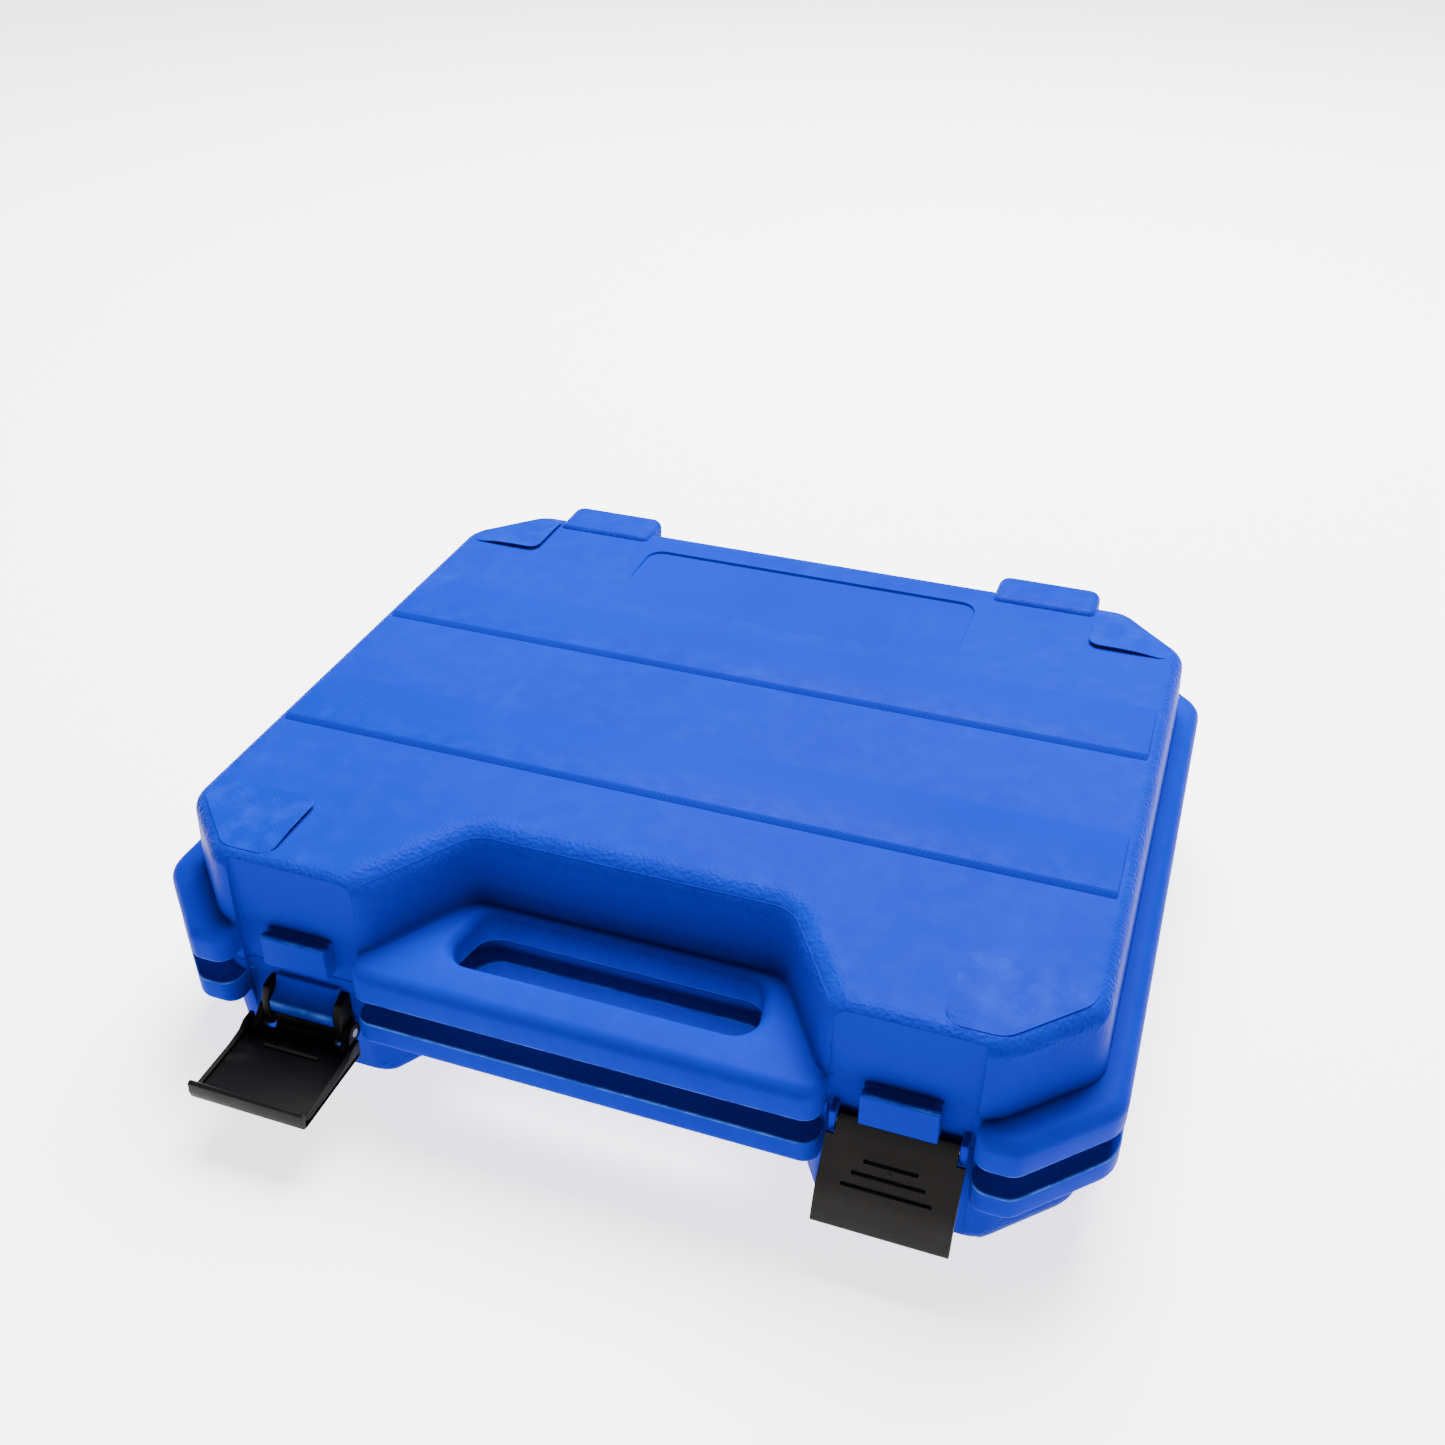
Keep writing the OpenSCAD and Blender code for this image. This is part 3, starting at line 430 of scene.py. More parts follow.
class Tree:
    """Short hand for a material's nodes."""

    def __init__(self, name: str) -> None:
        """Starts a material with an empty tree and an output."""
        self.material = bpy.data.materials.new(name)
        self.material.use_nodes = True
        self.nodes = self.material.node_tree.nodes
        self.links = self.material.node_tree.links
        self.nodes.clear()
        self.shader = self.nodes.new("ShaderNodeBsdfPrincipled")
        out = self.nodes.new("ShaderNodeOutputMaterial")
        self.links.new(self.shader.outputs[0], out.inputs[0])
        self.coords = self.nodes.new("ShaderNodeTexCoord").outputs["Object"]

    def feed(self, socket: bpy.types.NodeSocket, value: object) -> None:
        """Links a socket, or sets it to a constant."""
        if isinstance(value, bpy.types.NodeSocket):
            self.links.new(value, socket)
        else:
            socket.default_value = value

    def math(self, kind: str, a: object, b: object = 0.0, clamp: bool = False) -> bpy.types.NodeSocket:
        """A math node."""
        node = self.nodes.new("ShaderNodeMath")
        node.operation = kind
        node.use_clamp = clamp
        self.feed(node.inputs[0], a)
        self.feed(node.inputs[1], b)
        return node.outputs[0]

    def noise(self, scale: float, detail: float = 3.0, stretch: Sequence[float] = (1, 1, 1),
              turn: float = 0.0) -> bpy.types.NodeSocket:
        """Noise of about 1/scale metres, stretched along an axis and turned about Z."""
        node = self.nodes.new("ShaderNodeTexNoise")
        node.inputs["Scale"].default_value = scale
        node.inputs["Detail"].default_value = detail
        self.links.new(self.mapped(stretch, turn), node.inputs["Vector"])
        return node.outputs["Fac"]

    def mapped(self, stretch: Sequence[float], turn: float = 0.0) -> bpy.types.NodeSocket:
        """Object coordinates, turned about Z and scaled."""
        node = self.nodes.new("ShaderNodeMapping")
        node.inputs["Scale"].default_value = stretch
        node.inputs["Rotation"].default_value = (0, 0, turn)
        self.links.new(self.coords, node.inputs["Vector"])
        return node.outputs[0]

    def cells(self, scale: float, smoothness: float = 0.6) -> bpy.types.NodeSocket:
        """Rounded cells of about 1/scale metres."""
        node = self.nodes.new("ShaderNodeTexVoronoi")
        node.feature = "SMOOTH_F1"
        node.inputs["Scale"].default_value = scale
        node.inputs["Smoothness"].default_value = smoothness
        self.links.new(self.coords, node.inputs["Vector"])
        return node.outputs["Distance"]

    def waves(self, pitch: float, turn: float) -> bpy.types.NodeSocket:
        """Parallel ridges a pitch apart, turned about Z."""
        node = self.nodes.new("ShaderNodeTexWave")
        node.wave_type = "BANDS"
        node.bands_direction = "X"
        node.wave_profile = "SIN"
        node.inputs["Scale"].default_value = math.tau / pitch / 20
        self.links.new(self.mapped((1, 1, 1), turn), node.inputs["Vector"])
        return node.outputs["Fac"]

    def zone(self, zone: Zone) -> bpy.types.NodeSocket:
        """The value of a painted zone."""
        node = self.nodes.new("ShaderNodeAttribute")
        node.attribute_name = zone.value
        return node.outputs["Fac"]

    def ramp(self, value: bpy.types.NodeSocket, low: float, high: float) -> bpy.types.NodeSocket:
        """Value rescaled so that low gives 0 and high gives 1."""
        node = self.nodes.new("ShaderNodeMapRange")
        self.links.new(value, node.inputs["Value"])
        node.inputs["From Min"].default_value = low
        node.inputs["From Max"].default_value = high
        return node.outputs[0]

    def mix(self, amount: object, a: object, b: object) -> bpy.types.NodeSocket:
        """Blends two colours."""
        node = self.nodes.new("ShaderNodeMix")
        node.data_type = "RGBA"
        self.feed(node.inputs["Factor"], amount)
        self.feed(node.inputs[6], a)
        self.feed(node.inputs[7], b)
        return node.outputs[2]

    def bump(self, height: bpy.types.NodeSocket, depth: float, strength: float = 1.0,
             before: bpy.types.NodeSocket | None = None) -> bpy.types.NodeSocket:
        """Bumps a surface by depth metres."""
        node = self.nodes.new("ShaderNodeBump")
        node.inputs["Distance"].default_value = depth
        node.inputs["Strength"].default_value = strength
        self.links.new(height, node.inputs["Height"])
        if before is not None:
            self.links.new(before, node.inputs["Normal"])
        return node.outputs[0]


def rgb(red: float, green: float, blue: float) -> tuple[float, float, float, float]:
    """A linear colour with full alpha."""
    return (red, green, blue, 1.0)


@dataclass(frozen=True)
class MouldedCase:
    """Blow-moulded polyethylene with a mesh-textured top, pebbled edges and a painted highlight along its
    edges.
    """

    colour: tuple = rgb(0.0, 0.0128, 0.33)
    shade: tuple = rgb(0.0, 0.0108, 0.295)
    scuff: tuple = rgb(0.003, 0.036, 0.41)
    # lighter blue laid along edges as a painted highlight
    highlight_colour: tuple = rgb(0.05, 0.15, 0.56)
    mesh_pitch: float = 1.25 * MM

    def build(self, name: str) -> bpy.types.Material:
        """Makes the material."""
        tree = Tree(name)
        patches = tree.ramp(tree.noise(9, 3), 0.36, 0.66)
        base = tree.mix(patches, self.colour, self.shade)
        knurl = tree.zone(Zone.KNURL)
        wear = tree.zone(Zone.WEAR_AND_LIGHT)
        streaks = tree.ramp(tree.noise(55, 6, (1, 0.25, 1), 0.5), 0.54, 0.80)
        clouds = tree.ramp(tree.noise(14, 4), 0.50, 0.74)
        open_area = tree.math("MULTIPLY", clouds, tree.math("ADD", knurl, wear))
        scuffed = tree.math("MULTIPLY", streaks, open_area)
        rubbed = tree.math("MULTIPLY", wear, tree.ramp(tree.noise(120, 5), 0.42, 0.72))
        marks = tree.math("ADD", tree.math("MULTIPLY", scuffed, 0.55),
                          tree.math("MULTIPLY", rubbed, 0.5), True)
        worn = tree.mix(marks, base, self.scuff)
        # painted highlight: a lighter blue mixed in along the painted edges, broken up by noise
        edge = tree.math("MULTIPLY", tree.zone(Zone.EDGE), tree.ramp(tree.noise(150, 3), 0.25, 0.62), True)
        tree.feed(tree.shader.inputs["Base Color"], tree.mix(edge, worn, self.highlight_colour))
        rough = tree.ramp(tree.noise(40, 4), -0.6, 2.2)
        tree.feed(tree.shader.inputs["Roughness"],
                  tree.math("ADD", tree.math("MULTIPLY", rough, 0.30), 0.30))
        tree.shader.inputs["Specular IOR Level"].default_value = 0.01
        weave = tree.math("MULTIPLY", tree.waves(self.mesh_pitch, math.pi / 4),
                          tree.waves(self.mesh_pitch, -math.pi / 4))
        first = tree.bump(tree.math("MULTIPLY", weave, knurl), 0.00012, 0.4)
        pebbles = tree.math("MULTIPLY", tree.cells(760), tree.zone(Zone.PEBBLE))
        second = tree.bump(pebbles, 0.00055, 0.6, first)
        ripple = tree.bump(tree.noise(18, 2), 0.0016, 0.25, second)
        tree.feed(tree.shader.inputs["Normal"], ripple)
        return tree.material


@dataclass(frozen=True)
class DullPlastic:
    """Semi-matt injection-moulded plastic, rubbed along its edges, with painted light from the wear zone on
    the right latch's outer face.
    """

    colour: tuple = rgb(0.0062, 0.0060, 0.0060)
    rub_and_light: tuple = rgb(0.030, 0.027, 0.024)
    rough: float = 0.48

    def build(self, name: str) -> bpy.types.Material:
        """Makes the material."""
        tree = Tree(name)
        scuffs_and_light = tree.math("MULTIPLY", tree.ramp(tree.noise(160, 6, (0.35, 1, 1)), 0.56, 0.78),
                           tree.ramp(tree.noise(45, 3), 0.42, 0.7), True)
        # the wear zone adds painted light on the right latch's outer face and a lighter tone on the left
        # latch's ridge tops
        scuffs_and_light = tree.math("MAXIMUM", scuffs_and_light, tree.zone(Zone.WEAR_AND_LIGHT))
        tree.feed(tree.shader.inputs["Base Color"], tree.mix(scuffs_and_light, self.colour, self.rub_and_light))
        tree.shader.inputs["Specular IOR Level"].default_value = 0.07
        rough = tree.math("ADD", tree.math("MULTIPLY", tree.noise(90, 4), 0.25), self.rough - 0.1)
        tree.feed(tree.shader.inputs["Roughness"], rough)
        grain = tree.bump(tree.noise(2400, 2), 0.00006, 0.5)
        tree.feed(tree.shader.inputs["Normal"], tree.bump(tree.noise(120, 3), 0.0002, 0.35, grain))
        return tree.material


@dataclass(frozen=True)
class Metal:
    """Plated or machined steel with fine marks and a little grime."""

    colour: tuple = rgb(0.72, 0.73, 0.75)
    grime: tuple = rgb(0.55, 0.54, 0.52)
    rough: float = 0.16
    grain: float = 0.1

    def build(self, name: str) -> bpy.types.Material:
        """Makes the material."""
        tree = Tree(name)
        tree.shader.inputs["Metallic"].default_value = 1.0
        dirt = tree.ramp(tree.noise(40, 4), 0.60, 0.95)
        tree.feed(tree.shader.inputs["Base Color"], tree.mix(dirt, self.colour, self.grime))
        marks = tree.noise(240, 6, (0.15, 1, 1))
        tree.feed(tree.shader.inputs["Roughness"],
                  tree.math("ADD", tree.math("MULTIPLY", marks, self.grain * 2), self.rough))
        tree.feed(tree.shader.inputs["Normal"], tree.bump(marks, 0.00003, 0.4))
        return tree.material


@dataclass(frozen=True)
class Foam:
    """Cellular foam, closed or open."""

    colour: tuple = rgb(0.035, 0.036, 0.038)
    light: tuple = rgb(0.075, 0.076, 0.08)
    cell: float = 900.0

    def build(self, name: str) -> bpy.types.Material:
        """Makes the material."""
        tree = Tree(name)
        cells = tree.cells(self.cell, 0.3)
        speckle = tree.ramp(tree.noise(self.cell * 1.5, 2), 0.35, 0.75)
        tree.feed(tree.shader.inputs["Base Color"], tree.mix(speckle, self.colour, self.light))
        tree.shader.inputs["Roughness"].default_value = 0.92
        tree.shader.inputs["Sheen Weight"].default_value = 0.2
        tree.feed(tree.shader.inputs["Normal"], tree.bump(cells, 0.0003, 0.6))
        return tree.material


@dataclass(frozen=True)
class Rubber:
    """Moulded rubber, slightly dusty."""

    colour: tuple = rgb(0.014, 0.014, 0.015)
    dust: tuple = rgb(0.06, 0.058, 0.055)

    def build(self, name: str) -> bpy.types.Material:
        """Makes the material."""
        tree = Tree(name)
        tree.feed(tree.shader.inputs["Base Color"],
                  tree.mix(tree.ramp(tree.noise(60, 5), 0.5, 0.85), self.colour, self.dust))
        tree.shader.inputs["Roughness"].default_value = 0.62
        tree.feed(tree.shader.inputs["Normal"], tree.bump(tree.noise(1500, 3), 0.0001, 0.5))
        return tree.material


@dataclass(frozen=True)
class Floor:
    """Plain pale floor with a barely visible tone."""

    colour: tuple = rgb(0.93, 0.93, 0.935)

    def build(self, name: str) -> bpy.types.Material:
        """Makes the material."""
        tree = Tree(name)
        tree.feed(tree.shader.inputs["Base Color"],
                  tree.mix(tree.noise(2.0, 2), self.colour, rgb(0.91, 0.91, 0.915)))
        tree.shader.inputs["Roughness"].default_value = 0.9
        tree.shader.inputs["Specular IOR Level"].default_value = 0.1
        tree.shader.inputs["Emission Color"].default_value = rgb(1, 1, 1)
        tree.shader.inputs["Emission Strength"].default_value = 2.5
        return tree.material


# ---------------------------------------------------------------- case


@dataclass
class CaseForm:
    """Outlines and heights that both shells share, in millimetres."""

    flange_out: float = 8.6
    corner_cut: float = 27.0
    corner_r: float = 14.0
    base_flange_low: float = 30.0
    base_flange_high: float = 40.0
    groove_h: float = 9.5
    lid_flange_h: float = 12.0
    rim_low: float = 44.55
    rim_high: float = 44.95
    top: float = 89.3
    wall: float = 3.0
    catch_half_w: float = 12.0
    hinge_x: float = 97.0
    latch_x: float = 102.0
    latch_half_w: float = 23.0
    latch_wall_d: float = 11.4
    grip_d: float = 17.6
    finger_d: float = 24.0
    finger_half_w: float = 54.0
    half_w: float = field(init=False)
    front: float = field(init=False)
    back: float = field(init=False)

    def __post_init__(self) -> None:
        """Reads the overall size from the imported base."""
        low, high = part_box("base_shell")
        self.half_w = high[0] / MM
        self.front = low[1] / MM
        self.back = -self.front

    @property
    def body_front(self) -> float:
        """Front face of the deep bodies."""
        return self.front + self.flange_out

    @property
    def slot_wall(self) -> float:
        """Wall of the latch recesses."""
        return self.front + self.latch_wall_d

    @property
    def lid_low(self) -> float:
        """Lower face of the lid's flange."""
        return self.base_flange_high + self.groove_h

    @property
    def lid_flange_high(self) -> float:
        """Upper face of the lid's flange."""
        return self.lid_low + self.lid_flange_h

    def body_points(self, front: float, recess_front: float) -> list[Point]:
        """Corners of the deep bodies for a front face at a given depth."""
        w, back = self.half_w - self.flange_out, self.back - self.flange_out
        c = self.corner_cut - 0.586 * self.flange_out + self.flange_out / 2
        turn = self.body_front + c
        corner_x = w - (turn - front)
        rear, rear_w = self.front + 46.5, 53.5
        return [(recess_front, front), (corner_x, front), (w, turn), (w, back - c), (w - c, back),
                (-w + c, back), (-w, back - c), (-w, turn), (-corner_x, front), (-recess_front, front),
                (-rear_w, rear), (rear_w, rear)]

    def body_outline(self) -> Outline:
        """Outline of the deep bodies, with the handle recess and without the latch recesses."""
        r = self.corner_r
        return Outline(self.body_points(self.body_front, 77.5), [13, r, r, r, r, r, r, r, r, 13, 9, 9], 4.0)

    def inner_outline(self) -> Outline:
        """Outline of the deep bodies drawn back to the wall of the latch recesses."""
        r = self.corner_r
        return Outline(self.body_points(self.slot_wall, 75.7), [4, r, r, r, r, r, r, r, r, 4, 9, 9], 8.0)

    @staticmethod
    def by_side(outer: float, recess: float) -> np.ndarray:
        """One value for each side of the bodies' outline."""
        sides = np.full(12, outer)
        sides[[9, 10, 11]] = recess
        return sides

    def flange_outline(self) -> Outline:
        """Outline of either flange, with the latch recesses."""
        w, f, b, c = self.half_w, self.front, self.back, self.corner_cut
        near, far = self.latch_x - self.latch_half_w, self.latch_x + self.latch_half_w
        slot = self.slot_wall + 0.3  # just behind the bodies' wall, which shows
        points = [(-near, f), (near, f), (near, slot), (far, slot), (far, f), (w - c, f), (w, f + c),
                  (w, b - c), (w - c, b), (-w + c, b), (-w, b - c), (-w, f + c), (-w + c, f), (-far, f),
                  (-far, slot), (-near, slot)]
        r = self.corner_r
        radii = [6, 6, 3.2, 3.2, 5.5, 7, r, r, r, r, r, r, 7, 5.5, 3.2, 3.2]
        return Outline(points, radii, 6.0)

    @staticmethod
    def flange_rounding(radius: float) -> np.ndarray:
        """Edge rounding of each side of a flange: full outside, small inside the latch recesses."""
        share = [1, 0.55, 0.1, 0.55, 1, 1, 1, 1, 1, 1, 1, 1, 1, 0.55, 0.1, 0.55]
        return radius * np.array(share)

    def finger_outline(self) -> Outline:
        """Finger opening between the grip and the body."""
        near = self.front + self.grip_d
        far = near + self.finger_d
        rear_w = self.finger_half_w - 4.5
        corners = [(-self.finger_half_w, near), (self.finger_half_w, near), (rear_w, far), (-rear_w, far)]
        return Outline(corners, [8] * 4, 4.0)


@dataclass
class Flange:
    """Flange plate of a shell, with the grip half and its finger opening."""

    form: CaseForm

    def build(self, skin: Skin, low: float, high: float, round_low: float, round_high: float,
              lip_low: float, lip_high: float, highlight_on_top: bool) -> None:
        """Adds the plate to a skin.

        Args:
            skin: The skin to add to.
            low: Lower face.
            high: Upper face.
            round_low: Radius of the outer lower edge.
            round_high: Radius of the outer upper edge.
            lip_low: Radius of the finger opening's lower edge.
            lip_high: Radius of the finger opening's upper edge.
            highlight_on_top: True where the mould's parting line runs along the upper edge, which then gets
                the painted highlight; otherwise the lower edge gets it.
        """
        form = self.form
        # painted highlight weights for the lower and upper edges, along the parting line
        below, above = (0.0, 1.0) if highlight_on_top else (1.0, 0.0)
        outer = skin.rounded_wall(form.flange_outline(), low, high, form.flange_rounding(round_low),
                                  form.flange_rounding(round_high), 6, below, above, wear=0.3)
        shares = np.array([1.15, 1.0, 0.8, 1.0])
        finger = skin.rounded_wall(form.finger_outline(), low, high, -lip_low * shares, -lip_high * shares,
                                   6, 0.35 * below, 0.6 * above, wear=0.3)
        hole = form.inner_outline()
        inner = [skin.add_ring(hole.ring(1.5, z)) for z in (low, high)]
        skin.bridge(inner[1], inner[0])
        skin.fill(outer[0], finger[0], inner[0])
        skin.fill(outer[-1], finger[-1], inner[1])


@dataclass
class LidShell:
    """Lid of the case: body, flange, catches, raised strips, pads and hinge blocks."""

    form: CaseForm
    edge_r: float = 6.0
    recess_r: float = 8.5
    draft: float = 1.2
    relief: float = 1.65
    strip_d: float = 34.5
    strip_places: tuple[float, ...] = (83.9, 161.9)
    pad_d: float = 27.0
    pad_cut: float = 21.0
    front_pad_w: float = 37.0
    rear_pad_w: float = 29.0
    label_w: float = 143.0
    label_d: float = 45.0
    block_w: float = 42.0

    def body(self) -> bpy.types.Object:
        """Deep body, open below, with the label recess in its top."""
        form = self.form
        skin = Skin()
        outline = form.body_outline()
        radius = form.by_side(self.edge_r, self.recess_r)
        inside = form.by_side(0.0, 1.0)
        flat = form.lid_flange_high
        rings = [skin.add_ring(outline.ring(0.0, z)) for z in (form.rim_high, form.lid_low, flat - 0.6)]
        for k in range(5):
            near, far = quarter(k, 4)
            rings.append(skin.add_ring(outline.ring(-(0.5 + 1.1 * inside) * far, flat - 0.4 + 2.4 * near)))
        wall_top = form.top - radius
        for t in (0.3, 0.65, 1.0):
            path = outline.ring(self.draft * t, (flat + 2.0) * (1 - t) + wall_top * t)
            rings.append(skin.add_ring(path, pebble=0.55 * t))
        steps = 10
        for k in range(1, steps + 1):
            near, far = quarter(k, steps)
            path = outline.ring(self.draft + radius * near, form.top - radius * far)
            rings.append(skin.add_ring(path, pebble=1.0 if k < 9 else 0.5, wear=0.6 - 0.4 * far,
                                       knurl=max(0.0, (k - 7) / 3)))
        path = outline.ring(self.draft + radius + 2.5, form.top)
        crown = skin.add_ring(path, knurl=1.0, pebble=0.1, wear=0.3)
        rings.append(crown)
        skin.loft(rings)
        label = self.label_outline()
        rim = label.ring(0.0, form.top)
        verge = skin.add_ring(label.ring(-0.8, form.top), knurl=1.0, wear=0.3)
        mouth = skin.add_ring(rim, knurl=1.0, wear=0.4)
        floors = []
        for inset in (0.45, 1.4):
            foot = label.ring(inset, form.top)
            foot[:, 2] -= 0.05 + 0.95 * np.clip((foot[:, 1] - rim[:, 1].min()) / self.label_d, 0, 1)
            floors.append(skin.add_ring(foot, knurl=0.7))
        skin.loft([verge, mouth, *floors])
        skin.fill(crown, verge)
        skin.fill(floors[-1])
        room = form.inner_outline()
        inner = [skin.add_ring(room.ring(form.wall, z)) for z in (form.rim_high, form.top - form.wall)]
        skin.bridge(inner[1], inner[0])
        skin.fill(inner[1])
        skin.fill(rings[0], inner[0])
        return skin.finish("lid_body")

    def label_outline(self) -> Outline:
        """Outline of the label recess."""
        half, rear = self.label_w / 2, self.form.front + 250.3
        front = rear - self.label_d
        return Outline([(-half, front), (half, front), (half, rear), (-half, rear)], [7] * 4, 10)

    def strip(self, name: str, front: float) -> bpy.types.Object:
        """Raised strip whose rear side fades into the top panel."""
        depth, half_w = self.strip_d, self.form.half_w - 15.5
        z = self.form.top
        profile = [(front, z - 1.5), (front + depth, z - 1.5), (front + depth, z + 0.02),
                   (front + depth - 2.5, z + 0.28), (front + depth * 0.6, z + 0.62 * self.relief),
                   (front + 2.6, z + self.relief), (front + 1.9, z + self.relief - 0.16),
                   (front + 0.3, z + 0.12), (front, z - 0.1)]
        piece = prism_x(profile, -half_w, half_w, name, 0.3, 2, 60)
        paint(piece, Zone.KNURL, lambda place, normal: normal[:, 2])
        paint(piece, Zone.WEAR_AND_LIGHT,
              lambda place, normal: (1.0 - (place[:, 1] - front) / 9) * (normal[:, 1] > -0.25))
        return piece

    def pads(self) -> bpy.types.Object:
        """Four corner pads, clipped to the body's corner cuts."""
        form = self.form
        skin = Skin()
        w, b = form.half_w - form.flange_out - 7.5, form.back - form.flange_out - 7.5
        c, pad_d = self.pad_cut, self.pad_d
        widths = {-1: self.front_pad_w, 1: self.rear_pad_w}
        for sx in (-1, 1):
            for sy, pad_w in widths.items():
                corners = [(sx * (w - pad_w), sy * b), (sx * (w - c), sy * b), (sx * w, sy * (b - c)),
                           (sx * w, sy * (b - pad_d)), (sx * (w - pad_w), sy * (b - pad_d))]
                radii = [4, 8, 8, 4, 3]
                if sx * sy < 0:
                    corners, radii = corners[::-1], radii[::-1]
                # painted highlight along each pad's rounded upper edge
                skin.slab(Outline(corners, radii, 8), form.top - 1, form.top + self.relief, 0.1, 1.6, 6,
                          edge_high=1.0, knurl=0.9, pebble=0.3, wear=0.9)
        for vert in skin.mesh.verts:
            if vert.co.z > form.top:
                x, y = abs(vert.co.x), abs(vert.co.y)
                share = min(1.0, (w - x) / 14, (b - y) / 6, (w + b - c - x - y) / 12)
                vert.co.z = form.top + (vert.co.z - form.top) * max(share, 0.02)
                # the painted highlight fades with the pad's height
                vert[skin.layers[Zone.EDGE]] *= max(share, 0.0)
        return skin.finish("lid_pads")

    def catch(self, x: float, name: str) -> bpy.types.Object:
        """Catch block with a raised front lip that curls at its ends."""
        form = self.form
        wall = form.slot_wall
        z = form.lid_low - 0.7
        high = z + 12.6
        profile = [(wall + 2, z + 0.4), (wall - 5.6, z), (wall - 6, z + 0.6), (wall - 6, high - 0.5),
                   (wall - 5.5, high), (wall - 4.5, high - 0.1), (wall - 4.0, high - 1.2),
                   (wall - 1.8, high - 1.3), (wall - 1.2, high - 0.2), (wall + 2, high - 0.1)]
        piece = prism_x(profile, x - form.catch_half_w, x + form.catch_half_w, name, 0.45, 3, 25)
        reach = form.catch_half_w - 0.9
        curls = [self.curl(x + side * reach, wall - 4.4, high - 1.2, f"{name}_curl_{side}")
                 for side in (-1, 1)]
        body = join(name, [piece, *curls])
        # painted highlight along the lip's top edge and along the catch's lower edge
        paint(body, Zone.EDGE,
              lambda place, normal: 0.8 * ((place[:, 2] > high - 0.35) & (place[:, 1] < wall - 3.9))
              + 0.5 * (place[:, 2] < z + 0.3))
        return body

    @staticmethod
    def curl(x: float, y: float, z: float, name: str) -> bpy.types.Object:
        """Rolled end of a catch's lip."""
        skin = Skin()
        half_w, half_d = 0.95, 1.5
        outline = Outline([(x - half_w, y - half_d), (x + half_w, y - half_d), (x + half_w, y + half_d),
                           (x - half_w, y + half_d)], [0.9] * 4, 3)
        skin.slab(outline, z - 1, z + 1.2, 0.1, 0.6, 3)
        return skin.finish(name)

    def hinge_block(self, x: float, name: str) -> bpy.types.Object:
        """Raised block that carries a hinge's knuckle."""
        form = self.form
        half = self.block_w / 2
        high = form.top + self.relief
        skin = Skin()
        for front, low, top in ((form.back - 22, form.top - 2.6, high),
                                (form.back - form.flange_out - 2.5, form.lid_low + 1, high - 0.15)):
            outline = Outline([(x - half, front), (x + half, front), (x + half, form.back - 0.4),
                               (x - half, form.back - 0.4)], [3, 3, 5, 5], 5)
            skin.slab(outline, low, top, 0.5, 3.2, 5, knurl=0.5, pebble=0.5, wear=0.5)
        return skin.finish(name)

    def build(self) -> bpy.types.Object:
        """Makes the whole lid shell as one piece."""
        form = self.form
        body = self.body()
        for sx in (-1, 1):
            x = sx * form.latch_x
            cutter = block((x - form.latch_half_w + 0.4, form.front - 5, form.rim_high - 3),
                           (x + form.latch_half_w - 0.4, form.slot_wall, form.top + 4), "cutter", 1.2)
            cut(body, cutter)
        smooth(body)
        skin = Skin()
        Flange(form).build(skin, form.lid_low, form.lid_flange_high, 0.7, 4.6, 1.0, 4.4, False)
        flange = skin.finish("lid_flange")
        pieces = [body, flange, self.pads()]
        pieces += [self.strip(f"strip_{i}", form.front + y) for i, y in enumerate(self.strip_places)]
        for sx in (-1, 1):
            pieces.append(self.catch(sx * form.latch_x, f"catch_{sx}"))
            hinge_x = sx * form.hinge_x
            pieces.append(self.hinge_block(hinge_x, f"hinge_block_{sx}"))
            pieces.append(Knuckle(form).build(hinge_x, form.rim_high + 0.5, True, f"lid_knuckle_{sx}"))
        for side in (-1, 1):
            x = form.latch_x + side * 19.95
            pieces.append(block((x - 1.1, form.slot_wall - 5.7, 42.9),
                                (x + 1.1, form.slot_wall + 0.6, 51), "lug", 0.5))
        return smooth(join("lid_skin", pieces))


@dataclass
class Knuckle:
    """Hinge knuckles of either shell."""

    form: CaseForm
    radius: float = 5.0
    bore: float = 2.05
    length: float = 13.6
    pitch: float = 14.0
    axis_back: float = 3.0

    def build(self, x: float, web_z: float, up: bool, name: str) -> bpy.types.Object:
        """A bored knuckle with the web that ties it to its shell.

        Args:
            x: Middle of the knuckle.
            web_z: Height of the web's face nearest the parting plane.
            up: True where the web stands above the parting plane.
            name: Name of the object.

        Returns:
            The object.
        """
        form = self.form
        y, z = form.back + self.axis_back, form.base_flange_high + form.groove_h / 2
        half, chamfer = self.length / 2, 0.5
        skin = Skin()
        end = [(self.bore, half), (self.radius - chamfer, half), (self.radius, half - chamfer)]
        rings = [(r, x - dx) for r, dx in end] + [(r, x + dx) for r, dx in end[::-1]]
        turns = np.linspace(0, math.tau, 40, endpoint=False)
        loops = []
        for r, px in rings:
            path = [(px, y + r * math.cos(a), z + r * math.sin(a)) for a in turns]
            loops.append(skin.add_ring(np.array(path), wear=0.4))
        skin.loft(loops + [loops[0]])
        barrel = skin.finish(name + "_barrel")
        low, high = (web_z, web_z + 9) if up else (web_z - 9, web_z)
        web = block((x - half, form.back - 6, low), (x + half, y - 2.2, high), name + "_web", 0.6)
        return join(name, [barrel, web])


